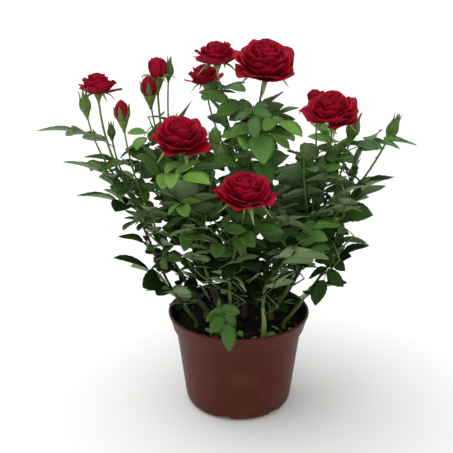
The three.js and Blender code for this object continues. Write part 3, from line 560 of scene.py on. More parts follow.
# For each mass: its cane, seed, leaves on the main stem, twigs, the leafy share of the stem, its heads, the
# end of a stem without a head, and the tips that its leaves reach, some with a length of their own. Those
# leaves may roll or be broad, and a mass with more young leaves is a lighter green.
masses = {
    "foliage_front": {
        "cane": "cane_front", "seed": 11, "leaves": 9, "twigs": 4, "leafy": (0.02, 0.68),
        "heads": [bloomHead((4, -85, 215), 45.5, (0.08, -0.22), openness=1.0, petals=42)],
        "reach": [(12, -102, 158)],
    },
    "foliage_low_front": {
        "cane": "cane_low_front", "seed": 21, "leaves": 8, "twigs": 3, "leafy": (0.1, 1),
        "end": (-16, -58, 118), "heads": [], "reach": [(-8, -70, 79), (-27, -55, 97, 34)], "broad": 1.7,
        "young": 1,
    },
    "foliage_front_right": {
        "cane": "cane_front_right", "seed": 26, "leaves": 9, "twigs": 3, "leafy": (0.05, 1),
        "end": (42, -66, 166), "heads": [], "reach": [(64, -92, 172), (59, -45, 104, 42)],
    },
    "foliage_right": {
        "cane": "cane_right", "seed": 35, "leaves": 10, "twigs": 4, "leafy": (0.03, 0.66),
        "heads": [
            bloomHead((69, -35, 263), 44, (-0.05, -0.3), openness=0.9, petals=40),
            budHead((60, 0, 269), 15, (-0.05, 0), 0.3, red=1, sepals="reflexed", half=0.3),
            budHead((48, -45, 236), 7, (0.02, -0.05), 0.25, red=0.15),
        ],
        "reach": [(96, -46, 207), (102, -50, 235)],
    },
    "foliage_far_right": {
        "cane": "cane_far_right", "seed": 42, "leaves": 8, "twigs": 3, "leafy": (0.02, 0.72),
        "heads": [
            budHead((125, 10, 240), 10, (0.4, 0), red=0.15, sepals="long"),
            budHead((88, -20, 247), 11, (0.2, -0.1), 0.12, red=0.1, sepals="long"),
        ],
        "reach": [(123, -18, 206), (143, 0, 227), (106, 8, 232), (124, 20, 188), (108, 0, 143)],
        "young": 0.15,
    },
    "foliage_low_right": {
        "cane": "cane_low_right", "seed": 60, "leaves": 7, "twigs": 3, "leafy": (0.05, 1),
        "end": (80, -44, 158), "heads": [], "reach": [(104, -30, 153), (84, -52, 129), (58, -66, 116)],
    },
    "foliage_left": {
        "cane": "cane_left", "seed": 63, "leaves": 8, "twigs": 4, "leafy": (0.03, 0.55),
        "heads": [
            bloomHead((-110, -10, 277), 32, (-0.04, 0.14), openness=0.95, petals=24),
            budHead((-118, -25, 266), 9, (-0.1, -0.05), 0.2, red=0.1, sepals="long"),
            budHead((-89, -35, 264), 13, (-0.06, -0.08), 0.12, red=0.6, tall=0.9),
            budHead((-104, 10, 237), 6.6, (-0.08, 0.05), 0.16, red=0.1, sepals="long"),
        ],
        "reach": [(-162, -6, 240), (-137, -30, 221), (-130, -20, 191), (-124, 20, 200)],
        "roll": 0.22, "young": 0.25,
    },
    "foliage_low_left": {
        "cane": "cane_low_left", "seed": 73, "leaves": 7, "twigs": 3, "leafy": (0.05, 1),
        "end": (-78, -44, 180), "heads": [],
        "reach": [(-99, -46, 148), (-63, -70, 127), (-64, -45, 116, 38), (-49, -48, 104, 34)],
    },
    "foliage_left_front": {
        "cane": "cane_left_front", "seed": 83, "leaves": 9, "twigs": 4, "leafy": (0.02, 0.66),
        "heads": [
            bloomHead((-44, -55, 248), 45.5, (0.05, -0.36), openness=0.95, petals=40),
            budHead((-19, -40, 245), 10, (0.02, -0.05), 0.15, red=0.1),
        ],
        "reach": [(-44, -70, 218)],
    },
    "foliage_left_back": {
        "cane": "cane_left_back", "seed": 97, "leaves": 10, "twigs": 4, "leafy": (0.02, 0.7),
        "heads": [
            budHead((-66, 15, 288), 15.5, (0, 0), red=1, sepals="curled", half=0.12),
            budHead((-71, -5, 279), 15, (-0.05, -0.08), 0.34, red=0.8, sepals="upright", tall=0.74),
            budHead((-57, 25, 285), 8, (0.08, 0), 0.38, red=0.05, sepals="long"),
        ],
        "reach": [(-38, 10, 262)],
    },
    "foliage_top": {
        "cane": "cane_centre", "seed": 103, "leaves": 9, "twigs": 3, "leafy": (0.02, 0.76),
        "heads": [
            bloomHead((19.5, -15, 296), 49, (0.1, -0.4), openness=0.95, petals=42),
            bloomHead((-18, 5, 299), 38, (-0.05, -0.04), 0.36, openness=0.95),
            bloomHead((-28, 35, 277), 30, (-0.08, 0.05), 0.3, openness=0.8, petals=24),
            budHead((6, 22, 243), 8, (0.5, 0), 0.34, red=0.4),
        ],
        "reach": [(34, -12, 273, 46), (-26, 2, 266, 44), (4, -5, 271, 46), (46, -22, 262, 44)], "broad": 1.2,
        "young": 0.1,
    },
    "foliage_back_right": {
        "cane": "cane_back_right", "seed": 119, "leaves": 11, "twigs": 4, "leafy": (0.04, 0.84),
        "heads": [
            bloomHead((62, 96, 173), 38, (0.15, 0.8), openness=0.95),
            budHead((92, 68, 178), 10, (0.25, 0.2), 0.4, red=0.15),
        ],
        "reach": [(66, 120, 148), (99, 80, 142), (59, 100, 111)],
    },
    "foliage_back_left": {
        "cane": "cane_back_left", "seed": 127, "leaves": 10, "twigs": 4, "leafy": (0.04, 0.84),
        "heads": [
            bloomHead((-54, 95, 174), 36, (-0.1, 0.8), openness=0.9),
            budHead((-90, 60, 178), 10, (-0.2, 0.15), 0.35, red=0.15),
        ],
        "reach": [(-70, 112, 148)],
    },
    "foliage_back": {
        "cane": "cane_back", "seed": 131, "leaves": 10, "twigs": 4, "leafy": (0.05, 1),
        "end": (4, 104, 182), "heads": [], "reach": [(6, 140, 176), (-24, 116, 140)],
    },
}
# The space the leaves stay in: the crown's radius at each height, flatter from front to back.
crown = {
    "middle": 1,
    "depthShare": 0.94,
    "outline": [(84, 56), (100, 57), (112, 60), (126, 70), (140, 87), (152, 98), (180, 106),
                (205, 114), (228, 106), (244, 84), (262, 60), (284, 44)],
    "overSoil": 1.5, "roundPot": 1,         # gaps
}
lineSteps = 40
stem = {
    "footRadius": 1.25, "headRadius": 0.85, "sides": 7, "ringStep": 3.2, "branchTaper": 0.8, "bend": 0.36,
    "branch": (0.65, 0.35),                 # how much a branch heads for its bloom, and how much on
    "nodeSwell": 0.3, "nodeLength": 1.8, "reddened": 0.3,
}
twig = {
    "length": 30, "spread": 16, "rise": 0.75, "lift": 0.15, "leafStep": 10, "basal": (0.78,), "taper": 0.6,
    "from": 0.1, "upTo": 0.88, "turns": (0, 45, -45, 90, -90, 135, -135, 180), "freeFrom": 12,
}
leaf = {
    "length": 54, "lengthSpread": 0.44, "rachisShare": 0.54, "rachisRadius": 0.42, "leafletShare": 0.5,
    "leafletWidth": 0.64, "thickness": 0.24, "fold": 0.15, "nod": 0.16, "droop": 0.2, "rise": 0.45,
    "toLight": 0.42,                        # leaves that point back rise, and those that point forward sink
    "roll": 34, "pairAt": 0.7, "pairStep": 0.4, "pairTurn": 58, "pairSize": 0.84, "pairFall": 0.14,
    "gap": 0.4, "lap": 9, "rows": 13, "columns": 5, "toothDepth": 0.07, "veinRelief": 0.3,
    "onCane": (0.56, 0.72, 0.9), "onBackCane": (0.16, 0.26, 0.37),
    "turnSpread": 16, "leastRise": 0.2, "riseSpread": 1.6,
    "lastFrom": 0.9,                        # from here along its stem a leaf goes the way the stem does
    "tipTurn": 20, "bankTurn": 26, "wave": (-0.05, 0.09),
}
# In shares of a head's radius: how far its neck lies below its place, then the middle and the radius of the
# sphere that the leaves keep clear of.
headSpace = {"bloom": (0.42, 0.5, 1.0), "bud": (1.1, 0.75, 1.25)}


def caneLine(foot, way, tip):
    # up from the foot, and then through the way and the tip on a smooth curve
    start = np.array([*foot, soilTop], float)
    way, tip = np.array(way, float), np.array(tip, float)
    knee = start + cane["knee"] * (np.array([*foot, way[2]]) - start)
    points = [start, knee, way, tip]
    points = [2 * start - knee, *points, 2 * tip - way]
    drawn = []
    for p0, p1, p2, p3 in zip(points, points[1:], points[2:], points[3:]):
        for t in np.linspace(0, 1, 12, endpoint=False):
            drawn.append(0.5 * (2 * p1 + (p2 - p0) * t + (2 * p0 - 5 * p1 + 4 * p2 - p3) * t ** 2
                                + (3 * p1 - p0 - 3 * p2 + p3) * t ** 3))
    return evened(np.array([*drawn, tip]), lineSteps)


def bentLine(start, heading, end, arriving):
    reach = np.linalg.norm(end - start)
    a, b = start + heading * reach * stem["bend"], end - arriving * reach * stem["bend"]
    t = np.linspace(0, 1, lineSteps)[:, None]
    drawn = start * (1 - t) ** 3 + a * 3 * t * (1 - t) ** 2 + b * 3 * t ** 2 * (1 - t) + end * t ** 3
    return evened(drawn, lineSteps)


def headFrame(head):
    axis = unit(np.array([*head["lean"], 1.0]))
    radius = head["width"] / 2
    drop = radius * headSpace[head["kind"]][0]
    return axis, radius, np.array(head["at"], float) - axis * drop


def spheres(centres, radii):
    centres = np.asarray(centres, float).reshape(-1, 3)
    return {"at": centres, "squares": (centres ** 2).sum(1),
            "radii": np.broadcast_to(radii, (len(centres),))}


def squaredTo(points, group):
    return (points ** 2).sum(1)[:, None] + group["squares"] - 2 * points @ group["at"].T


def touches(points, group, gap):
    return bool((squaredTo(points, group) < (group["radii"] + gap) ** 2).any())


def planLimbs():
    for mass in masses.values():
        foot, way, tip, _, _ = canes[mass["cane"]]
        limb = caneLine(foot, way, tip)
        mass["limb"] = limb
        heading = headingAt(limb, 1)
        start = limb[-1]
        heads = [(head, *headFrame(head)) for head in mass["heads"]]
        if heads:
            _, arriving, _, end = heads[0]
        else:
            end = np.array(mass["end"], float)
            arriving = unit(end - start)
        main = bentLine(start, heading, end, arriving)
        mass["stems"] = [(main, stem["footRadius"], stem["headRadius"])]
        for head, axis, _, neck in heads[1:]:
            begin = pointAt(main, head["from"])
            across, onward = stem["branch"]
            away = unit(neck - begin) * across + headingAt(main, head["from"]) * onward
            line = bentLine(begin, unit(away), neck, axis)
            mass["stems"].append((line, stem["headRadius"], stem["headRadius"] * stem["branchTaper"]))
        # a leaf belongs to the mass whose guides are nearest to it
        leafyShares = np.linspace(0, mass["leafy"][1], 24)
        guides = [*limb[len(limb) // 3:], *[pointAt(main, share) for share in leafyShares]]
        mass["guides"] = spheres(guides, 0)


def planSpace():
    caneGroup, radii = [], []
    for foot, way, tip, footRadius, _ in canes.values():
        line = caneLine(foot, way, tip)
        caneGroup.append(line)
        radii.append(np.linspace(footRadius, cane["tipRadius"], len(line)))
    headAt, headRadii = [], []
    for mass in masses.values():
        for head in mass["heads"]:
            axis, radius, neck = headFrame(head)
            _, lift, reach = headSpace[head["kind"]]
            headAt.append(neck + axis * radius * lift)
            headRadii.append(radius * reach)
    for mass in masses.values():
        rest = [other for other in masses.values() if other is not mass]
        others = [line for other in rest for line, _, _ in other["stems"]]
        hard = np.concatenate([*caneGroup, *others, headAt])
        mass["hard"] = spheres(hard, np.concatenate([*radii, np.ones(lineSteps * len(others)), headRadii]))
        mass["otherGuides"] = spheres(np.concatenate([other["guides"]["at"] for other in rest]), 0)
        mass["plans"] = []


def inCrown(points):
    height, radius = zip(*crown["outline"])
    reach = np.interp(points[:, 2], [0, *height, height[-1] + 0.1], [radius[0], *radius, 0])
    out = np.hypot(points[:, 0] - crown["middle"], points[:, 1] / crown["depthShare"])
    return bool((out < reach).all())


def inPotOrSoil(points):
    height, out, gap = points[:, 2], np.hypot(points[:, 0], points[:, 1]), crown["roundPot"]
    overSoil = (height > soilTop + crown["overSoil"]) & (out < pot["collarFootRadius"] - pot["wall"] - gap)
    free = overSoil | (height > pot["height"] + gap) | (out > pot["rimRadius"] + gap)
    return bool((~free).any())


def clearOf(points, mass):
    if inPotOrSoil(points) or touches(points, mass["hard"], leaf["gap"]):
        return False
    own = squaredTo(points, mass["guides"]).min(1)
    other = squaredTo(points, mass["otherGuides"]).min(1)
    return bool((np.sqrt(np.maximum(other, 0)) > np.sqrt(np.maximum(own, 0)) - leaf["lap"]).all())


# The places on a leaflet, along it and across it, that have to be free.
testPoints = np.array([(0.2, 0), (0.5, 0), (0.75, 0), (1, 0), (0.45, 1), (0.45, -1),
                       (0.25, 0.55), (0.25, -0.55), (0.74, 0.5), (0.74, -0.5)])


def leafPlan(root, heading, length, pairs, roll, broad=1.0):
    # a pinnate leaf: a drooping rachis, one leaflet at its end and pairs along it, larger on a broad leaf
    rachis = length * leaf["rachisShare"]

    def at(share):
        return root + heading * share * rachis - up * leaf["droop"] * share ** 2 * rachis

    def frameAt(share):
        along = unit(at(share + 0.02) - at(share - 0.02))
        level = unit(np.cross(up, along))
        side = level * math.cos(roll) + np.cross(along, level) * math.sin(roll)
        return along, side, np.cross(along, side)

    places = [(1, 0, 1)]
    for pair in range(pairs):
        share, size = leaf["pairAt"] - leaf["pairStep"] * pair, leaf["pairSize"] - leaf["pairFall"] * pair
        places += [(share, leaf["pairTurn"], size), (share, -leaf["pairTurn"], size)]
    rows = []
    for share, turn, size in places:
        along, side, face = frameAt(share)
        turn = math.radians(turn)
        aim = along * math.cos(turn) + side * math.sin(turn)
        rows.append((at(share) + aim * leaf["rachisRadius"], aim, np.cross(face, aim), face, size))
    origins, aims, acrosses, faces, sizes = (np.array(column) for column in zip(*rows))
    lengths = length * leaf["leafletShare"] * sizes * broad
    return {"root": root, "at": at, "origins": origins, "aims": aims, "acrosses": acrosses, "faces": faces,
            "lengths": lengths, "widths": lengths * leaf["leafletWidth"]}


def onLeaflets(plan, along, across):
    # along and across are arrays of one shape, and the result is leaflets x that shape x 3
    extra = (slice(None), *[None] * along.ndim)
    lengths, widths = plan["lengths"][extra], plan["widths"][extra]
    lift = np.abs(across) * leaf["fold"] * widths - along ** 2 * leaf["nod"] * lengths
    return (plan["origins"][extra] + plan["aims"][extra] * (along * lengths)[..., None]
            + plan["acrosses"][extra] * (across * widths / 2)[..., None]
            + plan["faces"][extra] * lift[..., None])


def planPoints(plan):
    return onLeaflets(plan, testPoints[:, 0], testPoints[:, 1]).reshape(-1, 3)


# The air round the plant in small cells, and which of them leaves have taken.
air = {"cell": 2.3, "from": (-190, -150, 50), "cells": (170, 150, 130)}
taken = np.zeros(air["cells"], bool)
bladeShares = [(along, across) for along in (0.15, 0.3, 0.45, 0.6, 0.75, 0.9)
               for across in (-0.8, -0.4, 0, 0.4, 0.8)]


def cellsOf(plan):
    shares = np.array(bladeShares)
    widest = 4 * shares[:, 0] * (1 - shares[:, 0])
    points = onLeaflets(plan, shares[:, 0], shares[:, 1] * widest).reshape(-1, 3)
    return tuple(((points - air["from"]) / air["cell"]).astype(int).T)


def keepLeaf(mass, plan):
    taken[cellsOf(plan)] = True
    plan["young"] = mass.get("young", 0)
    mass["plans"].append(plan)


# A leaf that would leave the mass's space or touch a limb turns, rises or shrinks, and is otherwise skipped.
tries = {"sizes": (1, 0.82, 0.66), "onePair": 0.7, "lifts": (0, -0.35, 0.4, 0.9),
         "turns": (0, 30, -30, 60, -60, 90, -90, 120, -120)}


def growLeaf(mass, root, azimuth, rise, length, roll):
    for size in tries["sizes"]:
        pairs = 1 if size < tries["onePair"] else 2
        for lift in tries["lifts"]:
            for turn in tries["turns"]:
                angle = math.radians(azimuth + turn)
                heading = flatWay(angle, rise + lift + leaf["toLight"] * math.sin(angle))
                plan = leafPlan(root, heading, length * size, pairs, roll)
                points = planPoints(plan)
                if inCrown(points) and not taken[cellsOf(plan)].any() and clearOf(points, mass):
                    return plan
    return None


def leafTowards(root, tip, pairs, roll, broad):
    # the heading and length are corrected by what the end leaflet's tip misses
    aim = np.array(tip, float)
    for _ in range(5):
        heading = aim - root
        length = np.linalg.norm(heading) / (leaf["rachisShare"] + leaf["leafletShare"] * broad)
        plan = leafPlan(root, unit(heading), length, pairs, roll, broad)
        aim = aim + tip - onLeaflets(plan, np.array([1.0]), np.array([0.0]))[0, 0]
    return plan


# For a leaf that reaches a given tip: its usual length, the places along a stem to try, how far they may be
# from the tip in shares of its length, and how much a root above the tip counts against it.
reaching = {"length": 64, "roots": (0.02, 0.91, 0.04), "distance": (0.6, 1.3), "fall": 0.2}


def reachingLeaf(mass, target):
    tip = np.array(target[:3], float)
    length = target[3] if len(target) > 3 else reaching["length"]
    nearest, furthest = reaching["distance"]
    roots = []
    for line, _, _ in mass["stems"]:
        for along in np.arange(*reaching["roots"]):
            root = pointAt(line, along)
            distance = np.linalg.norm(root - tip)
            if nearest * length < distance < furthest * length:
                fall = max(0, root[2] - tip[2]) * reaching["fall"]
                roots.append((abs(distance - length) + fall, along, root))
    roots.sort(key=lambda entry: entry[:2])
    for pairs in (2, 1):
        for _, _, root in roots:
            plan = leafTowards(root, tip, pairs, mass.get("roll", 0), mass.get("broad", 1.0))
            points = planPoints(plan)
            if clearOf(points, mass) and not taken[cellsOf(plan)].any():
                plan["aimed"] = True
                return plan
    return None


def growTwigs(mass, dice):
    main = mass["stems"][0][0]
    base = dice.random() * 360
    grown = []
    span = mass["leafy"][1] * twig["upTo"] - twig["from"]
    shares = twig["from"] + span * np.arange(mass["twigs"]) / max(1, mass["twigs"] - 1)
    begins = [pointAt(main, share) for share in shares]
    begins += [pointAt(mass["limb"], share) for share in twig["basal"]]
    for i, begin in enumerate(begins):
        for turn in twig["turns"]:
            angle = math.radians(base + i * goldenTurn + turn)
            reach = twig["length"] + twig["spread"] * dice.random()
            heading = flatWay(angle, twig["rise"])
            end = begin + heading * reach + up * reach * twig["lift"]
            line = bentLine(begin, heading, end, unit(up * 0.4 + heading * 0.6))
            if clearOf(line[twig["freeFrom"]:], mass):
                grown.append(line)
                mass["stems"].append((line, stem["headRadius"], stem["headRadius"] * twig["taper"]))
                break
    return grown


def growLeaves(mass):
    dice = Random(mass["seed"])
    for target in mass["reach"]:
        plan = reachingLeaf(mass, target)
        if plan:
            keepLeaf(mass, plan)
    twigs = growTwigs(mass, dice)
    azimuth = dice.random() * 360
    low, high = mass["leafy"]
    main = mass["stems"][0][0]
    nodes = [(main, low + (high - low) * (i + 0.5) / mass["leaves"]) for i in range(mass["leaves"])]
    lower = leaf["onBackCane"] if mass["limb"][0][1] > 0 else ()
    nodes += [(mass["limb"], share) for share in (*lower, *leaf["onCane"])]
    for line in twigs:
        count = max(2, round(lineLength(line) / twig["leafStep"]))
        nodes += [(line, (k + 0.96) / count) for k in range(count)]
    leafyTo = {}
    for line, along in nodes:
        azimuth += goldenTurn + leaf["turnSpread"] * (dice.random() - 0.5)
        rise = leaf["rise"] * (leaf["leastRise"] + leaf["riseSpread"] * dice.random())
        length = leaf["length"] * (1 + leaf["lengthSpread"] * (dice.random() - 0.5))
        roll = math.radians(leaf["roll"]) * (2 * dice.random() - 1)
        facing = azimuth
        if along > leaf["lastFrom"] and line is not mass["limb"]:
            ahead = headingAt(line, 1)
            facing = math.degrees(math.atan2(ahead[1], ahead[0]))
        plan = growLeaf(mass, pointAt(line, along), facing, rise, length, roll)
        if plan:
            keepLeaf(mass, plan)
            leafyTo[id(line)] = along
    # a twig ends at its last leaf, and one without a leaf goes
    headed = max(1, len(mass["heads"]))
    kept = mass["stems"][:headed]
    for line, *ends in mass["stems"][headed:]:
        if id(line) in leafyTo:
            shares = np.linspace(0, leafyTo[id(line)], len(line))
            kept.append((np.array([pointAt(line, share) for share in shares]), *ends))
    mass["stems"] = kept


planLimbs()
planSpace()
for mass in masses.values():
    growLeaves(mass)
print("planned", sum(len(mass["plans"]) for mass in masses.values()), "leaves")


# Bark: young rose canes, green and slightly waxy, some of them brown.
bark = {
    "lenticelSize": 2.4, "streakSize": 5,
    # each bark's colour, the colour of its streaks and its roughness
    "canes": {
        "waxyRoseBark": ("566930", "3a4a20", 0.5),
        "ripeRoseBark": ("45372a", "332220", 0.6),
        "freshRoseBark": ("86a04c", "566930", 0.5),
    },
    "twigs": {
        "greenTwigBark": ("70893f", "52692b", 0.5),
        "reddenedTwigBark": ("57422c", "40271f", 0.5),
        "prickleHorn": ("8a5b42", "6b3b2e", 0.4),
        "leafyTwigBark": ("56703a", "41562a", 0.5),
    },
}


def roseBark(name, code, shade, rough):
    # rose bark under a thin wax: even and softly glossy, with long faint streaks and raised lenticels
    material, shader, place = newMaterial(name, Roughness=rough, IOR=1.45, Specular_IOR_Level=0.35)
    drawnOut = addNode(material, "ShaderNodeMapping", {"Vector": place, "Scale": (1, 1, 0.2)})
    streaks = addNode(material, "ShaderNodeTexNoise", {
        "Vector": drawnOut.outputs["Vector"], "Scale": 1000 / bark["streakSize"], "Detail": 5})
    colour = addNode(material, "ShaderNodeMix", {
        0: streaks.outputs["Fac"], 6: linearColour(shade), 7: linearColour(code)}, data_type="RGBA")
    pores = addNode(material, "ShaderNodeTexVoronoi", {
        "Vector": place, "Scale": 1000 / bark["lenticelSize"]})
    relief = addNode(material, "ShaderNodeBump", {
        "Height": pores.outputs["Distance"], "Strength": 0.35, "Distance": 0.2 * mm})
    setSockets(shader, {"Base Color": colour.outputs[2], "Normal": relief.outputs["Normal"]})
    return material


def buildCanes():
    heap = newHeap()
    for number, (foot, way, tip, footRadius, tint) in enumerate(canes.values()):
        line = caneLine(foot, way, tip)
        length = lineLength(line)
        line = evened(line, round(length / cane["ringStep"]))
        walked = np.linspace(0, length, len(line))
        radii = np.interp(walked, [0, length], [footRadius, cane["tipRadius"]])
        radii = radii * (1 + cane["flare"] * np.exp(-walked / cane["flareLength"]))
        firstKnot = cane["knotStep"] * (0.5 + 0.13 * (number % 4))
        for knot in np.arange(firstKnot, length, cane["knotStep"]):
            radii = radii * (1 + cane["knotSwell"] * np.exp(-((walked - knot) / cane["knotLength"]) ** 2))
        angles = ringAngles(cane["sides"])
        ribs = 1 + cane["ribs"] * np.cos(3 * angles[None] + 0.05 * walked[:, None] + number)
        unrolled = np.broadcast_arrays(walked[:, None], 4 * np.cos(angles)[None], 4 * np.sin(angles)[None])
        grain = 1 + cane["roughness"] * waves(np.stack(unrolled, -1), cane["grainSize"], 60 + number)
        layTube(heap, line, radii[:, None] * ribs * grain, cane["sides"], tint, flatFoot=True)
    materials = [roseBark(name, *finish) for name, finish in bark["canes"].items()]
    makePiece("caneBark", heap, materials, list(canes))


# Prickles: every how many rings of a stem one may stand, how often it doesn't, and its length. In shares of
# that: half its foot along and across the stem, and how far down its tip hooks.
prickle = {"every": 3, "leftOut": 0.5, "size": (0.9, 1.7), "foot": (0.55, 0.28), "hook": 0.45, "sunk": 0.85}


def layPrickle(heap, at, out, along, size, tint):
    side = np.cross(out, along)
    half, wide = prickle["foot"]
    corners = ((half, 0), (0, wide), (-half, 0), (0, -wide))
    foot = [at + along * size * a + side * size * b for a, b in corners]
    tip = at + out * size - along * size * prickle["hook"]
    lay(heap, [*foot, tip], [(0, 1, 4), (1, 2, 4), (2, 3, 4), (3, 0, 4), (0, 3, 2), (0, 2, 1)], tint)


def buildTwigs():
    heap = newHeap()
    for number, mass in enumerate(masses.values()):
        dice = Random(700 + number)
        roots = np.array([plan["root"] for plan in mass["plans"]])
        for order, (line, foot, tip) in enumerate(mass["stems"]):
            length = lineLength(line)
            rings = evened(line, max(6, round(length / stem["ringStep"])))
            walked = np.linspace(0, 1, len(rings))
            radii = foot + (tip - foot) * walked
            # a stem thickens a little where a leaf or twig springs from it
            close = np.linalg.norm(rings[:, None] - roots[None], axis=2).min(1)
            radii = radii * (1 + stem["nodeSwell"] * np.exp(-(close / stem["nodeLength"]) ** 2))
            # the stems that carry heads stay fresh, and some of the leafy twigs redden
            redden = dice.random() < stem["reddened"]
            tint = (1 if redden else 3) if order >= len(mass["heads"]) else 0
            layTube(heap, rings, radii, stem["sides"], tint)
            sideways, across = tubeFrames(rings)
            for k in range(2, len(rings) - 2, prickle["every"]):
                if dice.random() < prickle["leftOut"]:
                    continue
                turn = dice.uniform(0, 2 * math.pi)
                out = sideways[k] * math.cos(turn) + across[k] * math.sin(turn)
                along = unit(rings[k + 1] - rings[k])
                at = rings[k] + out * radii[k] * prickle["sunk"]
                layPrickle(heap, at, out, along, dice.uniform(*prickle["size"]), 2)
    materials = [roseBark(name, *finish) for name, finish in bark["twigs"].items()]
    makePiece("twigs", heap, materials, list(masses))


# Leaves: each kind of leaf surface is one plain green, and every spray takes one of them.
greens = {
    "upper": ["42662a", "4f7a35", "294119", "65933c", "1f3214"],
    "under": ["5f7a44", "4f6c37"], "lighterUnder": 0.4,
    "stalk": "5b7636",
    "old": (2, 4), "oldGloss": 0.07, "gloss": 0.27,     # the darkest greens go to old leaves low in the crown, partly as painted shade; those are dusty and dull
    "lighterBetween": (95, 225),                          # heights over which the leaves get younger and lighter green: partly age, partly painted light above and painted shade below
    "shadedAndOldLow": -0.45, "litAndYoungUp": 1.2, "ageSpread": 0.5,
    # how light a leaf's green is at least for each green, from its age and from painted light and shade by
    # height, and the green of darker ones
    "greenSteps": ((0.95, 3), (0.55, 1), (0.15, 0), (-0.2, 2)), "darkestStep": 4,
    "veinSize": 3.2, "seed": 9,
}


def leafCuticle(name, code, rough, sheen, gloss=0.35):
    # rose leaf: a waxy green skin, glossier above than below, quilted by its veins
    material, shader, place = newMaterial(
        name, Base_Color=linearColour(code), Roughness=rough, IOR=1.42, Specular_IOR_Level=gloss,
        Sheen_Weight=sheen)
    cells = addNode(material, "ShaderNodeTexNoise", {
        "Vector": place, "Scale": 1000 / greens["veinSize"], "Detail": 5, "Roughness": 0.6})
    relief = addNode(material, "ShaderNodeBump", {
        "Height": cells.outputs["Fac"], "Strength": 0.3, "Distance": 0.35 * mm})
    setSockets(shader, {"Normal": relief.outputs["Normal"]})
    return material


def leafletShape():
    # stations along a leaflet, and how far its rim stands out at each: in at a tooth's foot, out at its tip
    rows, columns = leaf["rows"], leaf["columns"]
    along = np.linspace(0, 1, rows)
    half = along ** 0.6 * (1 - along) ** 0.94
    half = half / half.max()
    outward = np.arange(rows) % 2 == 1
    tooth = np.where(outward, 1.0, 1 - leaf["toothDepth"])
    across = np.linspace(-1, 1, columns)
    rim = np.abs(across) == 1
    width = half[:, None] * across[None] * np.where(rim[None], tooth[:, None], 1)
    # veins run forward from the midrib, so a point is further along the further out it lies
    forward = along[:, None] + 0.09 * np.abs(across)[None] * np.sin(math.pi * along)[:, None]
    pleat = np.where(outward, 1.0, -1.0)[:, None] * (np.abs(across) == 0.5)[None]
    inside = np.zeros_like(width)
    inside[1:-1, 1:-1] = 1
    return {"forward": forward, "width": width, "pleat": pleat, "inside": inside,
            "pattern": bladePattern(rows, columns)}


leaflet = leafletShape()


def leafThickness(plan):
    return -plan["faces"][:, None, None] * (leaflet["inside"] * leaf["thickness"])[None, ..., None]


def buildLeaves():
    groups = {
        "leavesFront": ["foliage_front", "foliage_low_front", "foliage_front_right", "foliage_left_front",
                        "foliage_low_left", "foliage_low_right"],
        "leavesTop": ["foliage_top", "foliage_right", "foliage_far_right", "foliage_left",
                      "foliage_left_back"],
        "leavesBack": ["foliage_back", "foliage_back_left", "foliage_back_right"],
    }
    materials = []
    for k, code in enumerate(greens["upper"]):
        gloss = greens["oldGloss"] if k in greens["old"] else greens["gloss"]
        materials.append(leafCuticle(f"leafUpper{k}", code, 0.6 - 0.5 * gloss, 0.0, gloss))
    materials += [leafCuticle(f"leafUnder{k}", code, 0.6, 0.15) for k, code in enumerate(greens["under"])]
    materials.append(leafCuticle("leafStalk", greens["stalk"], 0.5, 0.0))
    dice = Random(greens["seed"])
    for name, members in groups.items():
        heap = newHeap()
        for member in members:
            for plan in masses[member]["plans"]:
                layLeaf(heap, plan, dice)
        makePiece(name, heap, materials, members)


def turned(a, b, angle):
    # two directions at right angles, turned in their plane
    return a * math.cos(angle) + b * math.sin(angle), b * math.cos(angle) - a * math.sin(angle)


def layLeaf(heap, plan, dice):
    count = len(plan["lengths"])
    # every leaflet sits a little differently on its stalk
    for k in range(count):
        tip, bank = (math.radians(dice.uniform(-most, most)) for most in (leaf["tipTurn"], leaf["bankTurn"]))
        if k == 0 and "aimed" in plan:
            tip = bank = 0
        aim, face = turned(plan["aims"][k], plan["faces"][k], tip)
        across, face = turned(plan["acrosses"][k], face, bank)
        plan["aims"][k], plan["acrosses"][k], plan["faces"][k] = aim, across, face
    faces = plan["faces"][:, None, None]
    upper = onLeaflets(plan, leaflet["forward"], leaflet["width"])
    upper = upper + faces * (leaflet["pleat"] * leaf["veinRelief"])[None, ..., None]
    bend = np.array([dice.uniform(*leaf["wave"]) for _ in range(count)])[:, None, None]
    bend = bend * plan["lengths"][:, None, None]
    wave = bend * np.sin(leaflet["forward"] * math.pi * 1.6)[None] * np.abs(leaflet["width"])[None]
    upper = upper + faces * wave[..., None]
    # the green is lighter higher up and darker low in the crown: partly younger leaves above, partly painted
    # light at the top and painted shade below
    young = greens["litAndYoungUp"] * smoothStep(*greens["lighterBetween"], plan["root"][2]) + greens["shadedAndOldLow"]
    young = young + plan["young"] + dice.uniform(-greens["ageSpread"], greens["ageSpread"])
    tint = next((green for least, green in greens["greenSteps"] if young > least), greens["darkestStep"])
    below = len(greens["upper"]) + int(dice.random() < greens["lighterUnder"])
    layBlades(heap, leaflet["pattern"], upper, leafThickness(plan), tint, below)
    rachis = np.array([plan["at"](share) for share in np.linspace(-0.02, 1, 8)])
    radii = np.linspace(leaf["rachisRadius"] * 1.25, leaf["rachisRadius"] * 0.7, 8)
    layTube(heap, rachis, radii, 4, len(greens["upper"]) + len(greens["under"]))


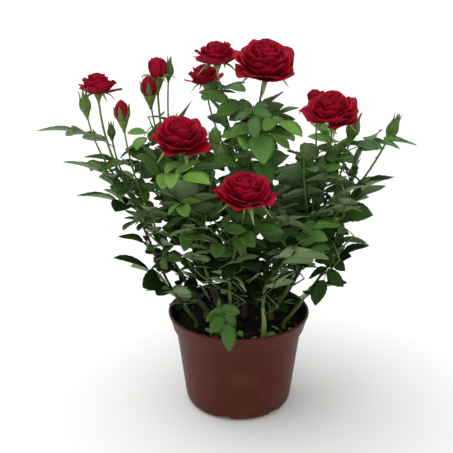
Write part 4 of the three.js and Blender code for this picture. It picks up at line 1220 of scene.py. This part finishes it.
# Blooms: spirals of cupped petals, tight at the heart and reflexed at the rim, over a hip and five sepals.
petal = {
    "rows": 9, "columns": 9, "thickness": 0.3,
    "reds": ["a00420", "b4082d", "76031a"], "back": "a00c2c", "sheen": "d8485c",
    "velvetSize": 2.4,                      # the real skin cells are far too fine to show
    # degrees at the heart, and how much more at the rim: how open the petals are, cupped and rolled back
    "open": (-6, 76), "mostOpen": 84, "cup": (16, 22), "roll": (14, 34),
    # the same for sizes, in shares of the bloom's radius
    "foot": (0.03, 0.07), "length": (1.1, 0.04), "halfWidth": (0.34, 0.42), "curl": (0.15, 1.3),
    # bloom radii over which the outer petals get uneven and the last ones stand out in lobes
    "uneven": (15, 21), "lobed": (18, 21), "lastPetals": (0.87, 0.92), "lobe": 0.13,
    "spread": 1.17, "budSpread": 1.1, "budPetals": 16,
}


def velvetPetal(name, code, rough, sheen):
    # rose petal: cone-shaped skin cells give a deep velvety red with a soft pale bloom at grazing angles
    material, shader, place = newMaterial(
        name, Base_Color=linearColour(code), Roughness=rough, IOR=1.4, Specular_IOR_Level=0.15,
        Sheen_Weight=sheen, Sheen_Roughness=0.4, Sheen_Tint=linearColour(petal["sheen"]))
    grain = addNode(material, "ShaderNodeTexNoise", {
        "Vector": place, "Scale": 1000 / petal["velvetSize"], "Detail": 4, "Roughness": 0.6})
    relief = addNode(material, "ShaderNodeBump", {
        "Height": grain.outputs["Fac"], "Strength": 0.3, "Distance": 0.3 * mm})
    setSockets(shader, {"Normal": relief.outputs["Normal"]})
    return material


def fromHeart(key, share):
    heart, more = petal[key]
    return heart + more * share


def petalGrid(radius, t, openness, long, dice):
    # t runs from 0 at the heart to 1 at the outermost petal. The result is in the bloom's own frame, +Z up
    # its axis, with the petal's middle line over +X.
    v = np.linspace(0, 1, petal["rows"])
    u = np.linspace(-1, 1, petal["columns"])
    uneven = t * smoothStep(*petal["uneven"], radius)
    lobe = smoothStep(*petal["lastPetals"], t) * smoothStep(*petal["lobed"], radius)
    openAngle = fromHeart("open", openness * t ** 2.1) + dice.uniform(-5, 5) * (1 + 0.8 * uneven)
    roll = fromHeart("roll", openness * t) * dice.uniform(0.6, 1.3)
    cupped = np.minimum(openAngle + fromHeart("cup", t) * (1 - 1.7 * v), petal["mostOpen"])
    theta = np.radians(cupped + roll * smoothStep(0.66, 1, v))
    longer = (1 + dice.uniform(-0.04, 0.04) * (1 + 2 * uneven)) * (1 + petal["lobe"] * lobe)
    length = radius * long * fromHeart("length", t) * longer
    step = length / (petal["rows"] - 1)
    between = theta[:-1] + np.diff(theta) / 2
    out = radius * fromHeart("foot", t) + np.r_[0, np.cumsum(np.sin(between) * step)]
    high = np.r_[0, np.cumsum(np.cos(between) * step)]
    out = np.maximum(out, radius * 0.02)
    half = radius * fromHeart("halfWidth", t) * dice.uniform(0.92, 1.08)
    width = half * (0.42 + 0.58 * smoothStep(0, 0.62, v)) * (1 - 0.26 * smoothStep(0.74, 1, v))
    curl = radius * fromHeart("curl", t ** 1.2)
    beta = np.clip(u[None] * width[:, None] / curl, -2.6, 2.6)
    level = 0 * theta
    inner = np.stack([-np.cos(theta), level, np.sin(theta)], -1)
    tangent = np.stack([np.sin(theta), level, np.cos(theta)], -1)
    middle = np.stack([out, level, high], -1)
    points = (middle[:, None]
              + np.array([0, 1.0, 0]) * (curl * np.sin(beta))[..., None]
              + inner[:, None] * (curl * (1 - np.cos(beta)))[..., None])
    # one edge tucks under the neighbour and the other laps over it, and the free rim rolls and ruffles
    rim = np.abs(u)[None] ** 4 * v[:, None] ** 1.5
    ruffle = np.sin(u[None] * dice.uniform(3, 6) + dice.uniform(0, 6)) * v[:, None] ** 3 * 0.06 * radius
    tuck = u[None] * 0.07 * radius * (1 - 0.6 * t)
    shift = tuck * v[:, None] - rim * 0.1 * radius * (0.3 + t) + ruffle
    points = points + inner[:, None] * shift[..., None]
    # the top edge is rounded, with a slight point at its middle
    rounded = np.abs(u) ** (2.4 - 0.6 * lobe) * (0.13 + 0.2 * lobe)
    drop = (rounded - 0.015 * np.exp(-(u / 0.18) ** 2)) * length
    points = points - tangent[:, None] * (drop[None] * v[:, None] ** 2)[..., None]
    down = -inner[:, None] * np.ones((1, petal["columns"], 1)) * petal["thickness"]
    return points, down


def poseTurn(axis, spin):
    # the turn that takes +Z to an axis, after a spin about +Z
    side = np.cross(up, axis)
    lean = math.atan2(np.linalg.norm(side), axis[2])
    side = side / max(np.linalg.norm(side), 1e-9)
    k = np.array([[0, -side[2], side[1]], [side[2], 0, -side[0]], [-side[1], side[0], 0]])
    turn = np.eye(3) + math.sin(lean) * k + (1 - math.cos(lean)) * k @ k
    return turn @ spinTurn(spin)


def layPetals(heap, pattern, radius, neck, turn, count, openness, long, dice):
    grown = []
    for i in range(count):
        t = (i / (count - 1)) ** 0.9
        points, down = petalGrid(radius, t, openness, long, dice)
        angle = math.radians(goldenTurn * i + dice.uniform(-9, 9))
        tint = 2 if t < 0.22 else int(dice.random() < 0.45)
        grown.append((aboutUp(points, angle), aboutUp(down, angle), tint))
    # the whole corolla keeps to the head's width
    widest = max(np.hypot(points[..., 0], points[..., 1]).max() for points, _, _ in grown)
    for points, down, tint in grown:
        placed = points * (radius / widest) @ turn.T + neck
        layBlades(heap, pattern, placed[None], (down @ turn.T)[None], tint, 3)


# Sepals, hips and buds. The outlines are pairs of radius and height over the neck: in millimetres for a
# bloom's hip, and in shares of the bud's radius for the others.
sepal = {
    "count": 5, "rows": 8, "columns": 5, "thickness": 0.3,
    "upper": "4f6a2b", "under": "8fa468", "hip": "5b7431",
    # for a bloom: where they spring, the angles they turn through, their length and width
    "foot": (1.8, -0.2), "angles": (70, 112, 140, 116), "length": 1.02, "width": 0.2,
}
hipOutlines = {
    "bloom": [(0, -7.4), (0.8, -7.2), (1.1, -5.6), (2, -3.4), (2.9, -1.6), (3.3, 0.2), (0, 0.8)],
    "bud": [(0, -1.9), (0.16, -1.85), (0.22, -1.5), (0.4, -1.1), (0.56, -0.7), (0.7, -0.3), (0, -0.1)],
}
budOutline = [(0, -0.6), (0.55, -0.45), (0.92, 0.1), (1, 0.6), (0.93, 1.15), (0.68, 1.7), (0.34, 2.1),
              (0, 2.35)]
# How a bud's sepals go: up to which corner of its outline they lie on it, the angles their free ends turn
# through, and how long those ends are in shares of its radius.
sepalWays = {
    "upright": (5, (-6, 50), 0.7),
    "long": (6, (-22, 0, 30), 2.2),
    "curled": (2, (30, 60, 110, 160), 1.9),
    "reflexed": (2, (60, 110, 150, 160), 1.8),
}


def bentPath(foot, angles, length):
    # a path out of an axis and up along it, from angle to angle off the axis
    theta = np.radians(np.interp(np.linspace(0, 1, 24), np.linspace(0, 1, len(angles)), angles))
    steps = np.stack([np.sin(theta), np.cos(theta)], -1) * length / 24
    return np.array(foot) + np.concatenate([np.zeros((1, 2)), np.cumsum(steps, 0)])


def laySepals(heap, pattern, neck, turn, path, width, dice, curlOut=0.0):
    # a sepal leaves the hip along its path and ends in a long point
    v = np.linspace(0, 1, sepal["rows"])
    u = np.linspace(-1, 1, sepal["columns"])
    half = width / 2 * (0.75 + 0.5 * np.sin(math.pi * v ** 0.7)) * (1 - v) ** 0.75
    walked = np.r_[0, np.cumsum(np.linalg.norm(np.diff(path, axis=0), axis=1))]
    for i in range(sepal["count"]):
        at = v * walked[-1] * dice.uniform(0.88, 1)
        out, high = (np.interp(at, walked, path[:, k]) for k in range(2))
        out = out + dice.uniform(-0.08, 0.12) * walked[-1] * v ** 3
        theta = np.arctan2(np.gradient(out), np.gradient(high))
        inner = np.stack([-np.cos(theta), 0 * theta, np.sin(theta)], -1)
        middle = np.stack([out, curlOut * v ** 2 * width * dice.uniform(-1, 1), high], -1)
        points = (middle[:, None] + np.array([0, 1.0, 0]) * (half[:, None] * u[None])[..., None]
                  + inner[:, None] * ((u[None] ** 2) * half[:, None] * 0.5)[..., None])
        down = -inner[:, None] * np.ones((1, sepal["columns"], 1)) * sepal["thickness"]
        angle = math.radians(360 / sepal["count"] * i + dice.uniform(-8, 8))
        points = aboutUp(points, angle) @ turn.T + neck
        down = aboutUp(down, angle) @ turn.T
        layBlades(heap, pattern, points[None], down[None], 1, 0)


def layTurned(heap, outline, facets, turn, at, tint, twist=0.0):
    points, faces = lathe(np.array(outline, float), facets)
    if twist:
        angle = np.arctan2(points[:, 1], points[:, 0])
        lap = (angle / (2 * math.pi) * 3 + points[:, 2] * twist) % 1
        points[:, :2] *= (1 + 0.1 * (lap - 0.5))[:, None]
    lay(heap, points @ turn.T + at, faces, tint)


# Weeds: seedlings with a few round leaves, on the soil in front.
weeds = {"roots": [(-21, -37), (5, -43), (38, -31)], "leaves": (4, 3, 5), "length": 15, "broad": 1.25,
         "green": "6f9a45", "seed": 77}


def buildWeeds():
    heap = newHeap()
    dice = Random(weeds["seed"])
    for (x, y), count in zip(weeds["roots"], weeds["leaves"]):
        root = np.array([x, y, 0.0])
        root[2] = soilHeight(root) - 0.3
        for k in range(count):
            turn = math.radians(goldenTurn * k + dice.uniform(-20, 20))
            heading = flatWay(turn, dice.uniform(0.5, 1.4))
            length = weeds["length"] * dice.uniform(0.7, 1.1)
            plan = leafPlan(root, heading, length, 0, dice.uniform(-0.4, 0.4))
            plan["widths"] = plan["widths"] * weeds["broad"]
            upper = onLeaflets(plan, leaflet["forward"], leaflet["width"])
            layBlades(heap, leaflet["pattern"], upper, leafThickness(plan), 0, 0)
            stalk = np.array([plan["at"](share) for share in np.linspace(0, 1, 6)])
            layTube(heap, stalk, np.full(6, 0.3), 4, 0)
    makePiece("weeds", heap, [leafCuticle("seedlingLeaf", weeds["green"], 0.55, 0.1)])


def buildHeads():
    petals, calyx, buds = newHeap(), newHeap(), newHeap()
    petalPattern = bladePattern(petal["rows"], petal["columns"], False, False)
    sepalPattern = bladePattern(sepal["rows"], sepal["columns"], False, True)
    for number, mass in enumerate(masses.values()):
        for order, head in enumerate(mass["heads"]):
            dice = Random(1000 + 10 * number + order)
            axis, radius, neck = headFrame(head)
            turn = poseTurn(axis, dice.uniform(0, 6.28))
            if head["kind"] == "bloom":
                wide = radius * petal["spread"]
                layPetals(petals, petalPattern, wide, neck, turn, head["petals"], head["open"], 1, dice)
                layTurned(calyx, hipOutlines["bloom"], 14, turn, neck, 2)
                path = bentPath(sepal["foot"], sepal["angles"], radius * sepal["length"])
                laySepals(calyx, sepalPattern, neck, turn, path, radius * sepal["width"], dice, 1)
            else:
                layBud(buds, calyx, petalPattern, sepalPattern, head, radius, neck, turn, dice)
    reds = [velvetPetal(f"velvetPetal{k}", code, 0.6, 0.12) for k, code in enumerate(petal["reds"])]
    reds.append(velvetPetal("petalBack", petal["back"], 0.65, 0.12))
    flowering = [name for name in masses if masses[name]["heads"]]
    makePiece("bloomPetals", petals, reds, flowering)
    makePiece("budPetals", buds, reds)
    green = [leafCuticle("sepalBack", sepal["upper"], 0.5, 0.1),
             leafCuticle("sepalInside", sepal["under"], 0.6, 0.2),
             leafCuticle("hipSkin", sepal["hip"], 0.45, 0.0)]
    makePiece("calyxes", calyx, green)


def layBud(buds, calyx, petalPattern, pattern, head, radius, neck, turn, dice):
    outline = np.array(budOutline) * radius * [0.92, head["tall"]]
    if head["half"] is None:
        corners = np.arange(len(outline))
        shares = np.linspace(0, len(outline) - 1, 22)
        dense = np.column_stack([np.interp(shares, corners, outline[:, k]) for k in range(2)])
        shut = head["red"] < 0.25
        layTurned(calyx if shut else buds, dense, 24, turn, neck, 0 if shut else 2, twist=0.35 / radius)
    else:
        foot = neck - turn[:, 2] * radius * 0.4
        wide = radius * petal["budSpread"]
        layPetals(buds, petalPattern, wide, foot, turn, petal["budPetals"], head["half"], 1.7, dice)
    hip = [(r * radius, z * radius) for r, z in hipOutlines["bud"]]
    layTurned(calyx, hip, 12, turn, neck, 2)
    hugged, angles, reach = sepalWays[head["sepals"]]
    lain = outline[1:hugged] + [0.35, 0]
    path = np.concatenate([lain, bentPath(lain[-1], angles, radius * reach)[1:]])
    width = radius * (1.3 if head["red"] < 0.3 else 1.0 if head["red"] < 0.7 else 0.75)
    laySepals(calyx, pattern, neck, turn, path, width, dice)


buildCanes()
buildTwigs()
buildLeaves()
buildWeeds()
buildHeads()
